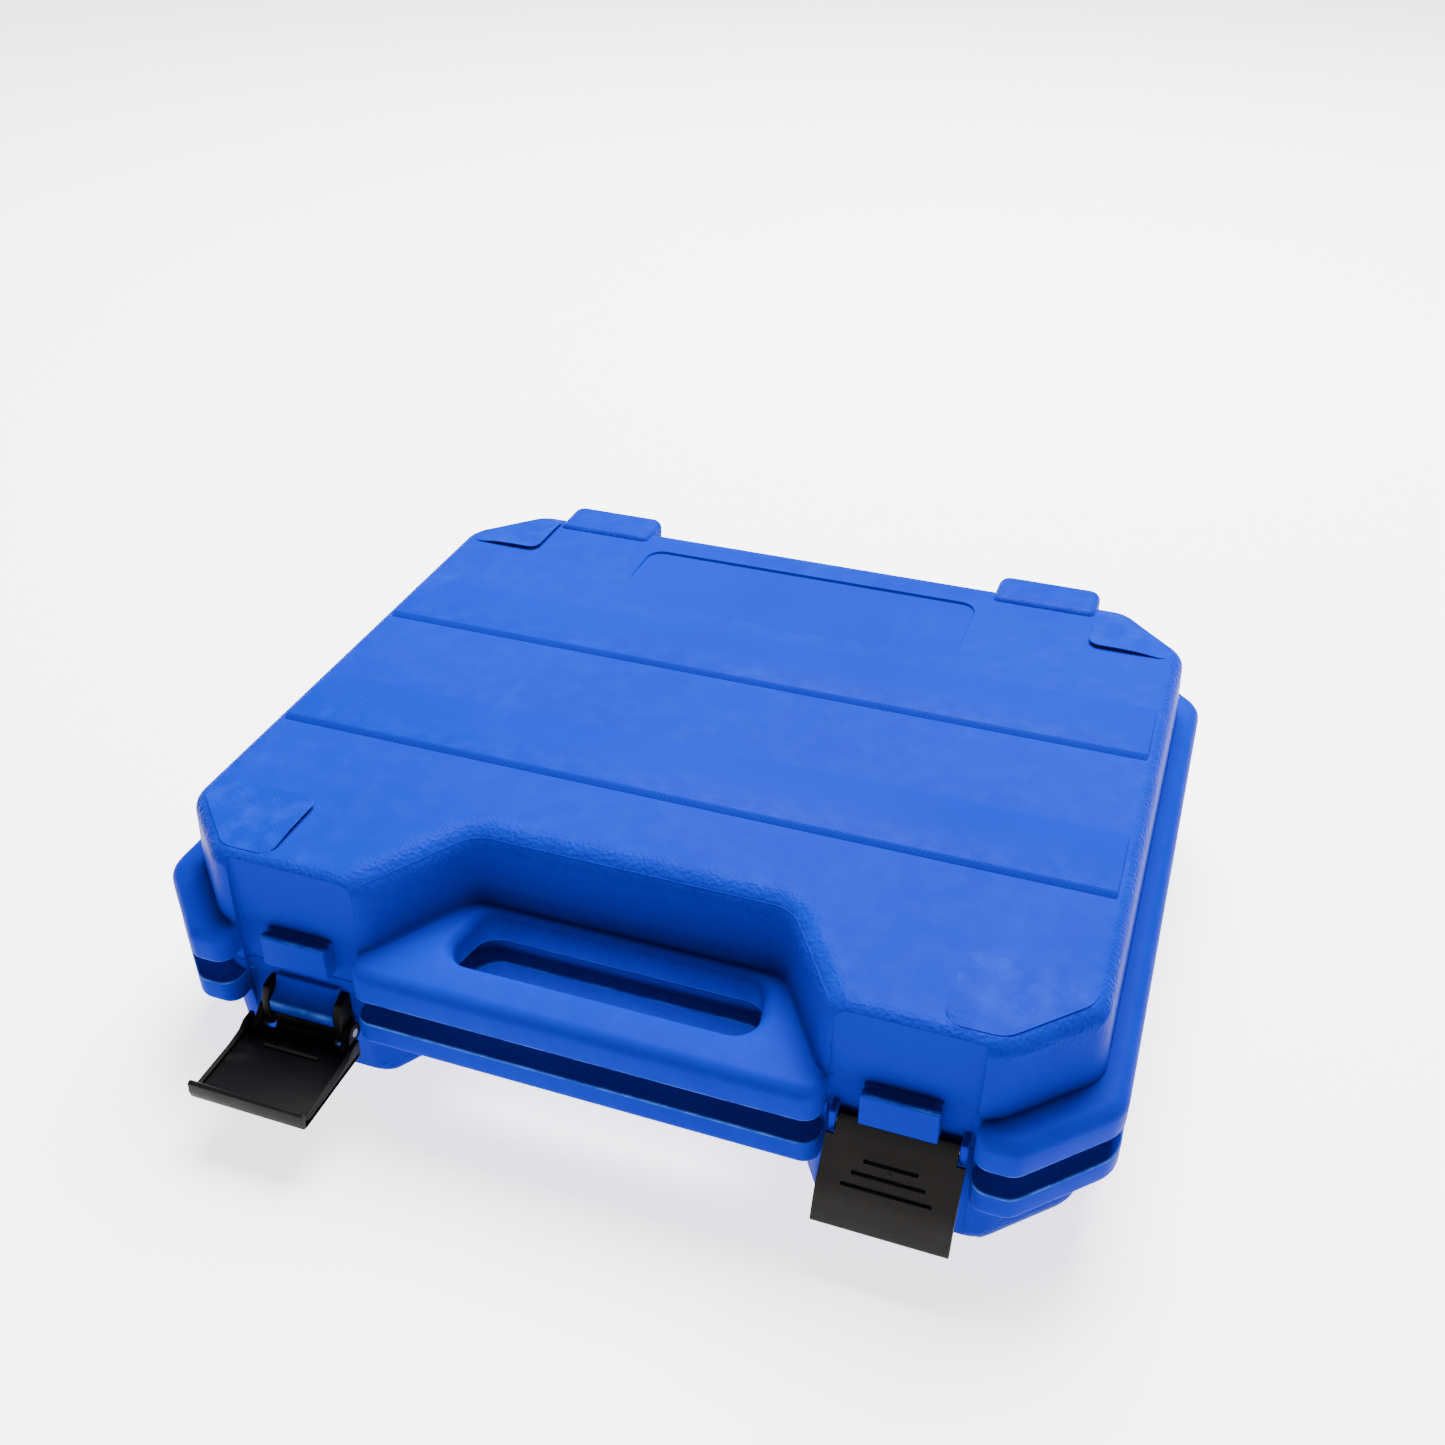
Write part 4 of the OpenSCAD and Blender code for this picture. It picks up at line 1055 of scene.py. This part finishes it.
@dataclass
class BaseShell:
    """Base of the case: body, flange with the lower grip half, latch hooks and hinge knuckles."""

    form: CaseForm
    edge_r: float = 10.0
    foot_r: float = 6.0
    scoop_r: float = 9.0
    draft: float = 1.5

    def body(self) -> bpy.types.Object:
        """Deep body, open above, with a large rounding along its foot."""
        form = self.form
        skin = Skin()
        outline = form.body_outline()
        radius = form.by_side(self.edge_r, self.foot_r)
        steps = 8
        rings = [skin.add_ring(outline.ring(self.draft + radius + 2.5, 0.0), knurl=0.4)]
        for k in range(steps + 1):
            near, far = quarter(k, steps)
            path = outline.ring(self.draft + radius * far, radius * near)
            rings.append(skin.add_ring(path, wear=0.4, pebble=0.6))
        for t in (0.35, 0.7, 1.0):
            height = radius * (1 - t) + (form.base_flange_low + 2) * t
            rings.append(skin.add_ring(outline.ring(self.draft * (1 - t), height), pebble=0.2))
        rings.append(skin.add_ring(outline.ring(0.0, form.rim_low)))
        skin.loft(rings)
        skin.fill(rings[0])
        room = form.inner_outline()
        inner = [skin.add_ring(room.ring(form.wall + inset, z))
                 for inset, z in ((0.0, form.rim_low), (0.0, self.edge_r + 2), (4.0, form.wall))]
        skin.loft(inner)
        skin.fill(inner[-1])
        skin.fill(rings[-1], inner[0])
        return skin.finish("base_body")

    def hook(self, x: float, name: str) -> bpy.types.Object:
        """Hook under a catch, its front scooped to a thin rim."""
        form = self.form
        wall = form.slot_wall
        low, high = 28.8, form.base_flange_high + 0.8
        scoop_y, scoop_z, r = wall - 10.8, high + 1.7, self.scoop_r
        start = -math.acos(2.6 / r)
        arc = [(scoop_y + r * math.cos(a), scoop_z + r * math.sin(a))
               for a in np.linspace(start, -math.asin((scoop_z - high) / r), 10)]
        profile = [(wall + 2, low), (wall - 7.4, low), (wall - 8.2, low + 1.2), *arc, (wall + 2, high)]
        half = form.catch_half_w
        piece = prism_x(profile, x - half, x + half, name, 0.5, 3, 28)
        rim_y = wall - 7.2
        # painted highlight along the scooped rim and down the side edges
        paint(piece, Zone.EDGE,
              lambda place, normal: 0.9 * ((place[:, 1] < rim_y) & (place[:, 2] > low + 3))
              + 0.55 * (np.abs(place[:, 0] - x) > half - 0.4) * (place[:, 2] > low + 2))
        return piece

    def build(self) -> bpy.types.Object:
        """Makes the whole base shell as one piece."""
        form = self.form
        body = self.body()
        for sx in (-1, 1):
            x = sx * form.latch_x
            cutter = block((x - form.latch_half_w + 0.4, form.front - 5, -3),
                           (x + form.latch_half_w - 0.4, form.slot_wall, form.rim_low + 3), "cutter", 1.2)
            cut(body, cutter)
        smooth(body)
        skin = Skin()
        Flange(form).build(skin, form.base_flange_low, form.base_flange_high, 3.2, 0.7, 3.4, 1.0, True)
        pieces = [body, skin.finish("base_flange")]
        for sx in (-1, 1):
            pieces.append(self.hook(sx * form.latch_x, f"hook_{sx}"))
            for side in (-1, 1):
                x = sx * form.hinge_x + side * Knuckle.pitch
                pieces.append(Knuckle(form).build(x, form.rim_low - 0.4, False, f"base_knuckle_{sx}_{side}"))
        return smooth(join("base_skin", pieces))


# ---------------------------------------------------------------- latches


@dataclass
class LeftLatch:
    """Left latch, swung open, its inner face up."""

    half_w: float = 21.25
    plate_t: float = 2.4
    plate_d: float = 34.3
    lip_h: float = 7.6
    ear_r: float = 3.5
    neck_r: float = 2.45
    neck_half_w: float = 11.6

    def build(self) -> bpy.types.Object:
        """Makes the latch inside its packed box."""
        low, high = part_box("latch_left")
        x = (low[0] + high[0]) / 2 / MM
        y0, z0 = low[1] / MM, low[2] / MM
        z1 = z0 + self.plate_t
        y1 = y0 + self.plate_d
        lip = z0 + self.lip_h
        plate = prism_x([(y0 + 2.6, z0), (y1, z0 + 0.3), (y1 + 1.6, z0 + 1.6), (y1, z1), (y0 + 4.4, z1),
                         (y0 + 3.0, z1 + 0.9), (y0 + 2.5, lip - 0.8), (y0 + 1.5, lip),
                         (y0 + 0.4, lip - 0.6), (y0, z1 + 1.5), (y0 + 0.6, z0 + 0.9)],
                        x - self.half_w, x + self.half_w, "plate", 0.35)
        pieces = [plate]
        pin_y, pin_z = y0 + 38.85, z0 + 6.4
        for side in (-1, 1):
            inner, outer = x + side * (self.half_w - 1.85), x + side * self.half_w
            wall = [(y0 + 1, z0 + 0.3), (y1 + 1.5, z0), (y1 + 1.9, z1 + 4.4), (y1 - 2.5, z1 + 4.2),
                    (y1 - 6, z1 + 2.2), (y1 - 12, z1 + 1.4), (y0 + 2, z1 + 1.2)]
            pieces.append(prism_x(wall, min(inner, outer), max(inner, outer), f"side_{side}", 0.4))
            ear_in, ear_out = x + side * 15.5, x + side * 18.1
            arc = [(pin_y + self.ear_r * math.cos(a), pin_z + self.ear_r * math.sin(a))
                   for a in np.linspace(math.radians(-80), math.radians(150), 14)]
            ear = [(pin_y - 7.5, z0 + 0.4), (pin_y - 2, z0 + 0.2), *arc, (pin_y - 7.5, z1 + 2)]
            pieces.append(prism_x(ear, min(ear_in, ear_out), max(ear_in, ear_out), f"ear_{side}", 0.4))
        pieces.append(block((x - 10.5, pin_y - 12.6, z1 - 1), (x + 10.5, pin_y - 11.2, z1 + 0.8),
                            "rib", 0.35))
        # neck that carries the plate round the pin, between the posts
        arc = [(pin_y + self.neck_r * math.cos(a), pin_z + self.neck_r * math.sin(a))
               for a in np.linspace(math.radians(-20), math.radians(200), 16)]
        neck = [(pin_y - 5.5, z0 + 0.2), (pin_y + 0.6, z0 + 0.3), (pin_y + 1.5, z0 + 1.4), *arc,
                (pin_y - 2.3, pin_z - 2.2), (pin_y - 3.2, z1 + 0.35), (pin_y - 5.5, z1)]
        pieces.append(prism_x(neck, x - self.neck_half_w, x + self.neck_half_w, "neck", 0.25))
        piece = smooth(join("left_latch_moulding", pieces))
        # lighter on the up-facing tops of the side walls and the rib
        paint(piece, Zone.WEAR_AND_LIGHT,
              lambda place, normal: 0.7 * ((place[:, 2] > z1 + 0.5) & (place[:, 1] < pin_y - 10)
                                           & (place[:, 1] > y0 + 12) & (normal[:, 2] > 0.5)))
        return piece


@dataclass
class RightLatch:
    """Right latch, hanging from the lid's catch with its grooved outer face showing."""

    lean: float = math.radians(37)
    half_w: float = 21.25
    notch_x: float = 18.55
    notch_z: float = -4.6
    grooves: tuple[tuple[float, float], ...] = ((-10.0, 8.25), (-14.0, 11.2), (-18.0, 13.8))

    def profile(self, x: float) -> np.ndarray:
        """Side view about the pin, cut by the grooves that reach x and notched beside the lugs."""
        outer = [(-1.9, 1.8), (-2.45, 0.4), (-2.5, -4.0), (-2.55, -8.0)]
        for z, half in self.grooves:
            foot = -1.65 if x < half else -2.6
            outer += [(-2.6, z + 0.75), (foot, z + 0.45), (foot, z - 0.45), (-2.6, z - 0.75)]
        outer += [(-2.5, -20.4), (-2.2, -22.6), (-1.5, -25.2), (-0.6, -28.2), (0.3, -31.0), (0.8, -31.8),
                  (1.7, -32.2), (2.6, -31.8), (3.0, -31.0), (2.0, -27.5), (0.9, -24), (0.2, -21.5),
                  (0.0, -19.0), (0.0, -10.0), (0.0, -4.0), (0.9, -2.6), (2.2, -1.3), (2.55, 0.3), (1.9, 1.7),
                  (0.6, 2.5), (-0.8, 2.45)]
        points = np.array(outer)
        if x > self.notch_x:
            high = points[:, 1] > self.notch_z
            points[high, 1] = self.notch_z
            points[high, 0] = np.clip(points[high, 0], -2.5, 0.0)
        return points

    def build(self) -> bpy.types.Object:
        """Makes the latch about its pin."""
        low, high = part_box("latch_right_pin")
        centre = Vector(((low[0] + high[0]) / 2, (low[1] + high[1]) / 2, (low[2] + high[2]) / 2))
        places = [self.half_w, self.notch_x + 0.01, self.notch_x - 0.05]
        for _, reach in self.grooves[::-1]:
            places += [reach + 0.15, reach - 0.1]
        sections = [(x, self.profile(x)) for x in places]
        sections = [(-x, section) for x, section in sections] + sections[::-1]
        plate = loft_x(sections, "right_plate")
        rib = prism_x([(-0.8, -17.9), (4.1, -17.9), (4.1, -19.1), (-0.8, -20.2)], -10, 10, "rib", 0.3)
        nub = block((-0.55, -2.9, -12.5), (0.45, -2.3, -11.6), "nub", 0.15)
        piece = smooth(join("right_latch_moulding", [plate, rib, nub]), 30)
        # painted light: the outer faces that face the front are made lighter, most at the top and less
        # towards the bent lower end
        paint(piece, Zone.WEAR_AND_LIGHT,
              lambda place, normal: (0.65 + place[:, 2] / 80) * (normal[:, 1] < -0.3))
        piece.data.transform(Matrix.Translation(centre) @ Matrix.Rotation(-self.lean, 4, "X"))
        return piece


@dataclass
class LatchBracket:
    """Black posts either side of the left hook."""

    post_w: float = 2.8
    back_h: float = 6.0

    def build(self) -> bpy.types.Object:
        """Makes the bracket inside its packed box."""
        low, high = (Vector(corner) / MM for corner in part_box("latch_left_bracket"))
        pieces = []
        for x0, x1 in ((low.x, low.x + self.post_w), (high.x - self.post_w, high.x)):
            profile = [(low.y, low.z + 1), (low.y + 1, low.z), (high.y, low.z), (high.y, high.z),
                       (low.y + 5, high.z), (low.y + 2.4, high.z - 1), (low.y + 0.6, high.z - 5)]
            pieces.append(prism_x(profile, x0, x1, "post", 0.4))
        pieces.append(block((low.x + 2, high.y - 1.2, low.z), (high.x - 2, high.y, low.z + self.back_h),
                            "back", 0.3))
        return smooth(join("left_latch_posts", pieces))


# ---------------------------------------------------------------- repeated details


class Repeater:
    """Geometry Nodes trees for what repeats, baked into plain meshes."""

    def __init__(self, name: str, **inputs: tuple[str, float]) -> None:
        """Starts a tree.

        Args:
            name: Name of the tree.
            inputs: Socket type and value of each named input.
        """
        self.tree = bpy.data.node_groups.new(name, "GeometryNodeTree")
        self.tree.interface.new_socket("Geometry", in_out="OUTPUT", socket_type="NodeSocketGeometry")
        self.values: dict[str, float] = {}
        for label, (kind, value) in inputs.items():
            socket = self.tree.interface.new_socket(label, in_out="INPUT", socket_type=kind)
            self.values[socket.identifier] = value
        self.entry = self.tree.nodes.new("NodeGroupInput")
        self.exit = self.tree.nodes.new("NodeGroupOutput")

    def node(self, kind: str, **sockets: object) -> bpy.types.Node:
        """Adds a node and feeds its sockets by name."""
        node = self.tree.nodes.new(kind)
        for label, value in sockets.items():
            socket = node.inputs[label.replace("_", " ")]
            if isinstance(value, bpy.types.NodeSocket):
                self.tree.links.new(value, socket)
            else:
                socket.default_value = value
        return node

    def given(self, label: str) -> bpy.types.NodeSocket:
        """The output of a named input."""
        return self.entry.outputs[label]

    def bake(self, name: str, points: bpy.types.NodeSocket, instance: bpy.types.NodeSocket,
             rotation: object, material: bpy.types.Material) -> bpy.types.Object:
        """Instances a shape on points, gives it a material and bakes the result.

        Args:
            name: Name of the object.
            points: Points to stand on.
            instance: Shape to repeat.
            rotation: Rotation of each copy.
            material: Material of the copies.

        Returns:
            The object, without modifiers.
        """
        spread = self.node("GeometryNodeInstanceOnPoints", Points=points, Instance=instance)
        if isinstance(rotation, bpy.types.NodeSocket):
            self.tree.links.new(rotation, spread.inputs["Rotation"])
        real = self.node("GeometryNodeRealizeInstances", Geometry=spread.outputs[0])
        painted = self.node("GeometryNodeSetMaterial", Geometry=real.outputs[0], Material=material)
        self.tree.links.new(painted.outputs[0], self.exit.inputs[0])
        piece = link(name, bpy.data.meshes.new(name))
        modifier = piece.modifiers.new("repeat", "NODES")
        modifier.node_group = self.tree
        for identifier, value in self.values.items():
            modifier[identifier] = value
        bpy.context.view_layer.update()
        return apply_modifiers(piece)


@dataclass
class KnurlBand:
    """Band of fine ridges round a tool."""

    radius: float
    length: float
    count: int = 56
    depth: float = 0.35

    def build(self, name: str, centre: Vector, axis: Axis, material: bpy.types.Material) -> bpy.types.Object:
        """Makes the band.

        Args:
            name: Name of the object.
            centre: Middle of the band, in metres.
            axis: Direction of the tool.
            material: Finish.

        Returns:
            The object.
        """
        maker = Repeater(name, Count=("NodeSocketInt", self.count),
                         Radius=("NodeSocketFloat", self.radius * MM),
                         Length=("NodeSocketFloat", self.length * MM),
                         Depth=("NodeSocketFloat", self.depth * MM))
        circle = maker.node("GeometryNodeMeshCircle", Vertices=maker.given("Count"),
                            Radius=maker.given("Radius"))
        size = maker.node("ShaderNodeCombineXYZ", X=maker.given("Depth"), Y=maker.given("Depth"),
                          Z=maker.given("Length"))
        ridge = maker.node("GeometryNodeMeshCube", Size=size.outputs[0])
        place_of = maker.node("GeometryNodeInputPosition")
        turn = maker.node("FunctionNodeAlignRotationToVector", Vector=place_of.outputs[0])
        turn.axis = "X"
        turn.pivot_axis = "Z"
        band = maker.bake(name, circle.outputs[0], ridge.outputs[0], turn.outputs[0], material)
        lay = Matrix.Rotation(math.pi / 2, 4, "Y" if axis is Axis.X else "X")
        band.data.transform(Matrix.Translation(centre) @ lay)
        return band


@dataclass
class LidFoam:
    """Foam in the lid, its lower face cut into rows of soft cones."""

    form: CaseForm
    pitch: float = 11.0
    cone_h: float = 5.0

    def build(self, material: bpy.types.Material) -> bpy.types.Object:
        """Makes the foam inside its packed box."""
        low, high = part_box("lid_foam")
        z0, z1 = low[2] / MM, high[2] / MM
        skin = Skin()
        outline = self.form.inner_outline()
        gap = self.form.wall + 1.8
        rings = [skin.add_ring(outline.ring(gap, z)) for z in (z0 + self.cone_h, z1 - 0.1)]
        skin.bridge(*rings)
        skin.fill(rings[0])
        skin.fill(rings[1])
        slab = skin.finish("foam_slab")
        slab.data.materials.append(material)
        columns, rows = 25, 17
        maker = Repeater("egg_crate", Columns=("NodeSocketInt", columns), Rows=("NodeSocketInt", rows),
                         Pitch=("NodeSocketFloat", self.pitch * MM),
                         Cone=("NodeSocketFloat", self.cone_h * MM))
        wide = maker.node("ShaderNodeMath")
        wide.operation = "MULTIPLY"
        tall = maker.node("ShaderNodeMath")
        tall.operation = "MULTIPLY"
        for node, label, steps in ((wide, "Pitch", columns - 1), (tall, "Pitch", rows - 1)):
            maker.tree.links.new(maker.given(label), node.inputs[0])
            node.inputs[1].default_value = steps
        grid = maker.node("GeometryNodeMeshGrid", Size_X=wide.outputs[0], Size_Y=tall.outputs[0],
                          Vertices_X=maker.given("Columns"), Vertices_Y=maker.given("Rows"))
        cone = maker.node("GeometryNodeMeshCone", Vertices=12, Radius_Top=1.2 * MM, Radius_Bottom=5.2 * MM,
                          Depth=maker.given("Cone"))
        crate = maker.bake("egg_crate", grid.outputs[0], cone.outputs[0], None, material)
        crate.data.transform(Matrix.Translation((0, 0.022, (z0 + self.cone_h + 0.05) * MM))
                             @ Matrix.Rotation(math.pi, 4, "X"))
        piece = join("lid_foam_skin", [slab, crate])
        return smooth(piece, 60)


# ---------------------------------------------------------------- scene


def dress(slots: dict[str, bpy.types.Material]) -> None:
    """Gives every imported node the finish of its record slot."""
    for entry in frame["record"]["subparts"]:
        node = frame["nodes"][entry["node"]]
        node.data.materials.clear()
        node.data.materials.append(slots[entry["material_slot"]])


def place(piece: bpy.types.Object, body: str, slot: str, material: bpy.types.Material, *nodes: str) -> None:
    """Dresses a new piece, and makes it ride on a body in place of its nodes."""
    piece.data.materials.clear()
    piece.data.materials.append(material)
    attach(piece, body)
    if nodes:
        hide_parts(*nodes)
    LOG.info("%s: %d faces on %s", piece.name, len(piece.data.polygons), body)


@dataclass
class Studio:
    """Floor, lights and camera."""

    lens: float = 38.4
    eye: Vector = field(default_factory=lambda: Vector((0.1559, -0.4385, 0.4049)))
    forward: Vector = field(default_factory=lambda: Vector((-0.2759, 0.7780, -0.5645)))

    def camera(self) -> None:
        """Sets the camera."""
        data = bpy.data.cameras.new("camera")
        data.lens = self.lens
        data.sensor_width = 36
        camera = bpy.data.objects.new("camera", data)
        camera.rotation_euler = self.forward.to_track_quat("-Z", "Y").to_euler()
        camera.location = self.eye
        bpy.context.scene.collection.objects.link(camera)
        bpy.context.scene.camera = camera

    def area(self, name: str, place_at: Sequence[float], size: float, power: float) -> None:
        """Adds a soft square light aimed at the object's foot."""
        data = bpy.data.lights.new(name, "AREA")
        data.energy = power
        data.size = size
        light = bpy.data.objects.new(name, data)
        light.location = place_at
        light.rotation_euler = (-Vector(place_at)).to_track_quat("-Z", "Y").to_euler()
        bpy.context.scene.collection.objects.link(light)

    def floor(self) -> None:
        """Adds the floor at the object's foot."""
        mesh = bmesh.new()
        bmesh.ops.create_grid(mesh, x_segments=2, y_segments=2, size=8)
        data = bpy.data.meshes.new("floor")
        mesh.to_mesh(data)
        mesh.free()
        ground = link("floor", data)
        data.materials.append(Floor().build("floor"))

    def build(self) -> None:
        """Makes the whole studio."""
        self.camera()
        self.floor()
        self.area("rear_light", (0.0, 0.78, 1.65), 1.3, 178)
        self.area("front_light", (-1.1, -1.7, 0.8), 1.2, 4)
        world = bpy.data.worlds.new("studio")
        world.use_nodes = True
        world.node_tree.nodes["Background"].inputs[0].default_value = rgb(1, 1, 1)
        world.node_tree.nodes["Background"].inputs[1].default_value = 0.06
        bpy.context.scene.world = world


def main() -> None:
    """Builds the looks in order."""
    logging.basicConfig(level=logging.INFO, format="%(message)s")
    Studio().build()
    slots = {
        "case_blue": MouldedCase().build("case_blue"),
        "latch_black": DullPlastic().build("latch_black"),
        "tray_foam": Foam().build("tray_foam"),
        "lid_foam_grey": Foam(rgb(0.10, 0.10, 0.105), rgb(0.17, 0.17, 0.175), 700).build("lid_foam_grey"),
        "chrome": Metal().build("chrome"),
        "steel": Metal(rgb(0.42, 0.42, 0.43), rgb(0.22, 0.21, 0.2), 0.3, 0.14).build("steel"),
        "grip_rubber": Rubber().build("grip_rubber"),
        "dark_steel": Metal(rgb(0.10, 0.10, 0.105), rgb(0.05, 0.05, 0.05), 0.36, 0.12).build("dark_steel"),
    }
    dress(slots)
    form = CaseForm()
    place(LidShell(form).build(), "lid", "case_blue", slots["case_blue"], "lid_shell")
    place(BaseShell(form).build(), "case", "case_blue", slots["case_blue"], "base_shell")
    place(LeftLatch().build(), "left_latch", "latch_black", slots["latch_black"], "latch_left")
    place(RightLatch().build(), "right_latch", "latch_black", slots["latch_black"], "latch_right")
    place(LatchBracket().build(), "case", "latch_black", slots["latch_black"], "latch_left_bracket")
    foam = LidFoam(form).build(slots["lid_foam_grey"])
    place(foam, "lid", "lid_foam_grey", slots["lid_foam_grey"], "lid_foam")
    for node, axis, inset in (("extension_long", Axis.X, 12), ("extension_short", Axis.X, 12),
                              ("plug_socket_small", Axis.Y, 16), ("plug_socket_large", Axis.Y, 16)):
        low, high = (Vector(corner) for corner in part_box(node))
        centre = (low + high) / 2
        centre[axis.value] = low[axis.value] + inset * MM
        radius = (high.z - low.z) / 2 / MM
        band = KnurlBand(radius, 10, round(radius * 5)).build(f"{node}_knurl", centre, axis, slots["chrome"])
        place(band, "case", "chrome", slots["chrome"])
    bpy.context.view_layer.update()


if __name__ == "__main__":
    main()
